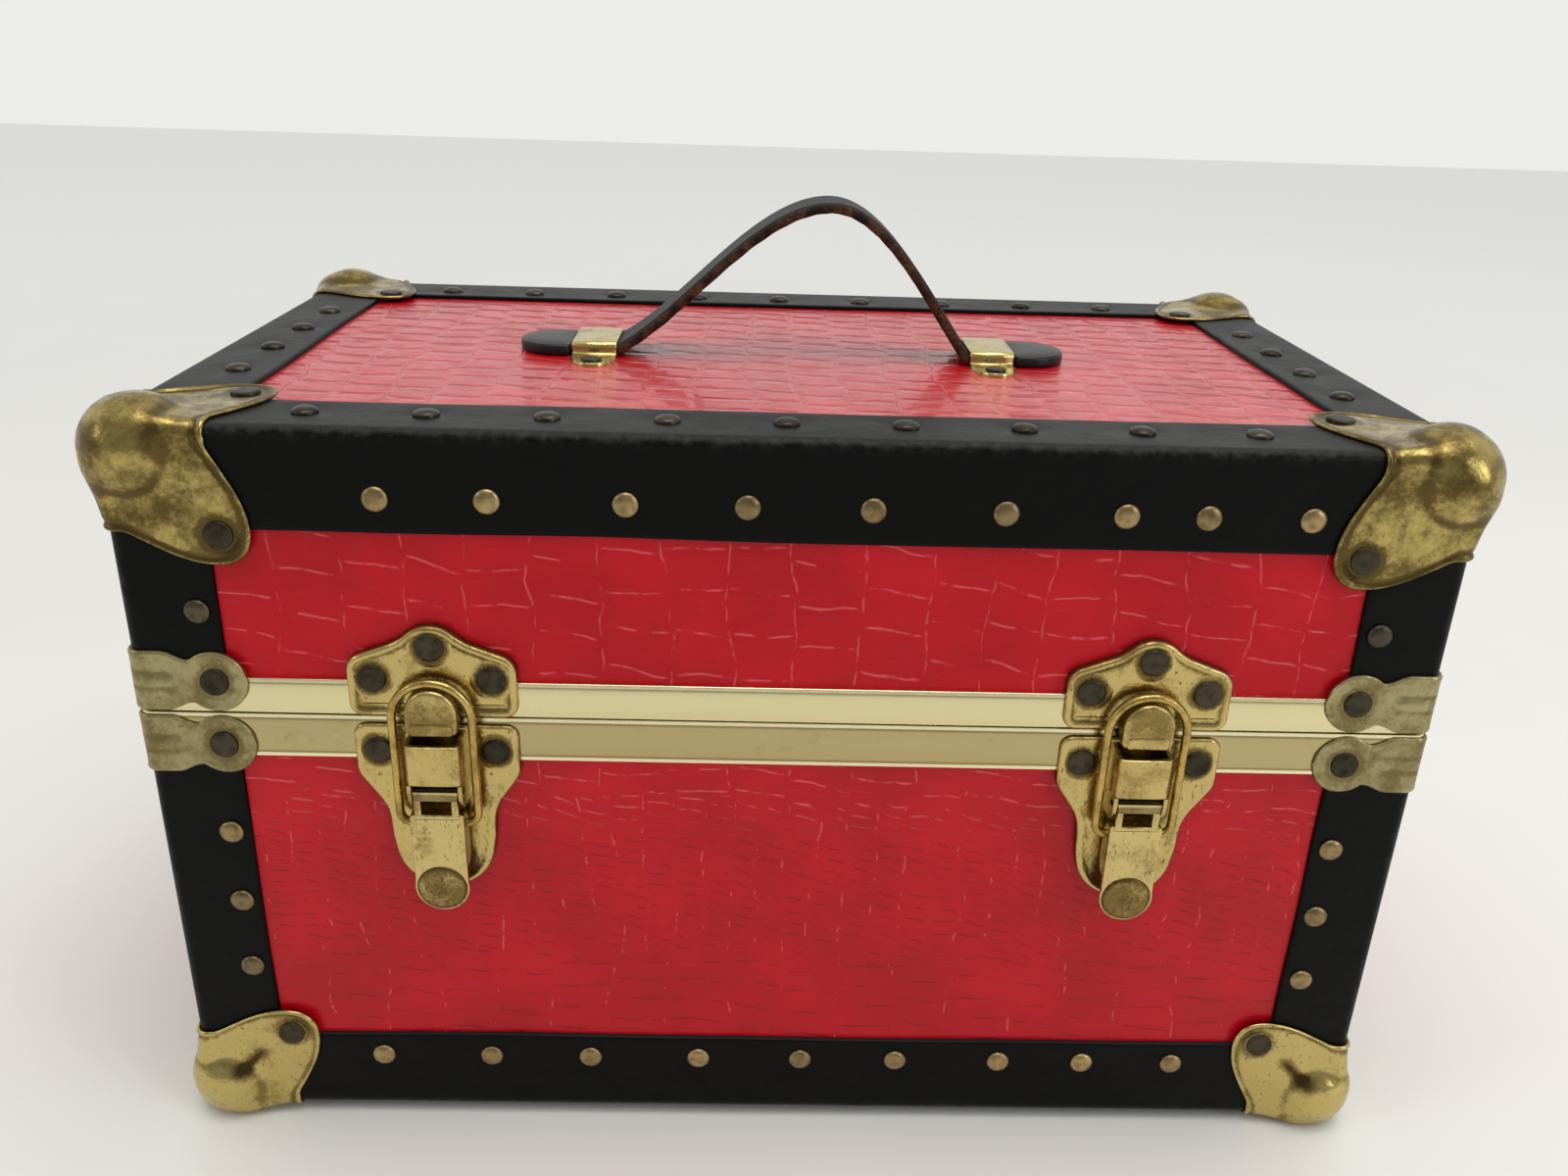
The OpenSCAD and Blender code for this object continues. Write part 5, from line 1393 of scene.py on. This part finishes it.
def make_pull_tabs():
    """Two round-topped leather tabs that lift the tray, with a pressed line inside their edges."""
    low, high = box_mm("tray_pull_tabs")
    middle, radius = (low.y + high.y) / 2, PULL_W / 2
    round_top = plain(arc(0, high.z - radius, radius, 0, 180, 20))
    outline = resample(fillet([(radius, low.z, 0.6), *round_top, (-radius, low.z, 0.6)]), 0.9)
    profile = [(0.3, 0.0), (0.0, 0.25), (0.0, PULL_T - 0.45), (0.35, PULL_T - 0.05), (1.1, PULL_T)]
    profile += [(1.4, PULL_T - 0.22), (1.7, PULL_T - 0.22), (2.0, PULL_T), (3.2, PULL_T)]
    shell = Shell()
    for way, wall in ((-1, low.x), (1, high.x)):
        loops = plate_rings(outline, profile)
        shell.rings([np.column_stack([wall - way * w, middle + u, v]) for u, v, w in (q.T for q in loops)])
    shell.build("tray_pull_tabs_leather", "tray", paddle_leather, "paddle_leather", "tray_pull_tabs", 50)


make_lining("base_lining", "base", 1, 3.0, 0.8)
make_lining("lid_lining", "lid", -1, 14.0, 4.0)
make_ring_rolls()
make_pull_tabs()


# ---- floor, light and camera ----

WALL_GLOW, CEILING_GLOW, FRONT_GLOW = 0.84, 0.86, 0.34


def make_stage():
    p = Paint("floor", rough=0.55)
    where = p.place()
    shade = p.noise(where, 0.004, 3)
    # painted light: the floor is painted brighter away from the case, fading into the backdrop
    far = p.smooth(p.add("VectorMath", {0: where}, out="Value", operation="LENGTH"), 500, 2200)
    near = p.mix(shade, srgb(226, 225, 221), srgb(236, 236, 233))
    p.set("Base Color", p.mix(far, near, srgb(250, 250, 248)))
    p.set("Normal", p.bump(p.noise(where, 0.3, 4), 0.08, 0.3))
    mesh = bpy.data.meshes.new("floor")
    reach = 4.0
    corners = [(-reach, -reach, 0), (reach, -reach, 0), (reach, reach, 0), (-reach, reach, 0)]
    mesh.from_pydata(corners, [], [(0, 1, 2, 3)])
    mesh.materials.append(p.mat)
    floor = bpy.data.objects.new("floor", mesh)
    bpy.context.scene.collection.objects.link(floor)


def area_light(name, place, aim, size, power, colour=(1, 1, 1)):
    lamp = bpy.data.lights.new(name, "AREA")
    lamp.shape = "RECTANGLE"
    lamp.size, lamp.size_y = size
    lamp.energy = power
    lamp.color = colour
    holder = bpy.data.objects.new(name, lamp)
    bpy.context.scene.collection.objects.link(holder)
    holder.location = place
    holder.rotation_euler = (Vector(aim) - Vector(place)).to_track_quat("-Z", "Y").to_euler()


def make_light():
    """A pale room: bright wall behind and ceiling above, dimmer in front of the case, and soft lamps.

    The dimmer side only shapes the light: as a backdrop, the room is equally pale all round.
    """
    world = bpy.data.worlds.new("studio")
    bpy.context.scene.world = world
    world.use_nodes = True
    tree = world.node_tree
    where = tree.nodes.new("ShaderNodeTexCoord")
    split = tree.nodes.new("ShaderNodeSeparateXYZ")
    tree.links.new(where.outputs["Generated"], split.inputs[0])

    def fade(socket, low, high, to_low, to_high):
        node = tree.nodes.new("ShaderNodeMapRange")
        node.interpolation_type = "SMOOTHSTEP"
        tree.links.new(split.outputs[socket], node.inputs["Value"])
        for key, value in (("From Min", low), ("From Max", high), ("To Min", to_low), ("To Max", to_high)):
            node.inputs[key].default_value = value
        return node.outputs[0]

    def join(operation, a, b):
        node = tree.nodes.new("ShaderNodeMath")
        node.operation = operation
        for socket, value in zip(node.inputs, (a, b)):
            if isinstance(value, bpy.types.NodeSocket):
                tree.links.new(value, socket)
            else:
                socket.default_value = value
        return node.outputs[0]

    walls, ceiling = fade("Y", -0.55, 0.1, FRONT_GLOW, WALL_GLOW), fade("Z", 0.55, 0.95, 0.0, CEILING_GLOW)
    room = join("MAXIMUM", walls, ceiling)
    seen = tree.nodes.new("ShaderNodeLightPath").outputs["Is Camera Ray"]
    room = join("MAXIMUM", room, join("MULTIPLY", seen, WALL_GLOW))
    ground = tree.nodes["Background"]
    ground.inputs["Color"].default_value = (1.0, 1.0, 0.985, 1)
    tree.links.new(room, ground.inputs["Strength"])
    area_light("overhead", (0.2, -0.25, 1.6), (0, 0, 0.1), (1.3, 1.0), 11, (1.0, 0.98, 0.95))
    area_light("window", (1.3, -1.0, 0.8), (0, 0, 0.1), (0.5, 0.9), 5, (0.97, 0.98, 1.0))
    area_light("left_fill", (-1.5, -0.7, 0.9), (0, 0, 0.1), (0.35, 0.6), 2, (1.0, 0.99, 0.97))


def make_camera():
    """The photograph's viewpoint, solved together with the case's proportions."""
    yaw, pitch, roll = (math.radians(a) for a in (1.63, 22.84, -1.88))
    ahead = Vector((math.sin(yaw) * math.cos(pitch), math.cos(yaw) * math.cos(pitch), -math.sin(pitch)))
    level = Vector((math.cos(yaw), -math.sin(yaw), 0))
    down = ahead.cross(level)
    right = math.cos(roll) * level + math.sin(roll) * down
    below = -math.sin(roll) * level + math.cos(roll) * down
    lens = bpy.data.cameras.new("camera")
    lens.lens, lens.sensor_width = 29.77, 36.0
    lens.clip_start = 0.01
    camera = bpy.data.objects.new("camera", lens)
    bpy.context.scene.collection.objects.link(camera)
    turn = Matrix((right, -below, -ahead)).transposed().to_4x4()
    camera.matrix_world = Matrix.Translation(Vector((-12.3, -418.8, 315.1)) * MM) @ turn
    bpy.context.scene.camera = camera


bpy.context.scene.view_settings.view_transform = "Standard"
make_stage()
make_light()
make_camera()
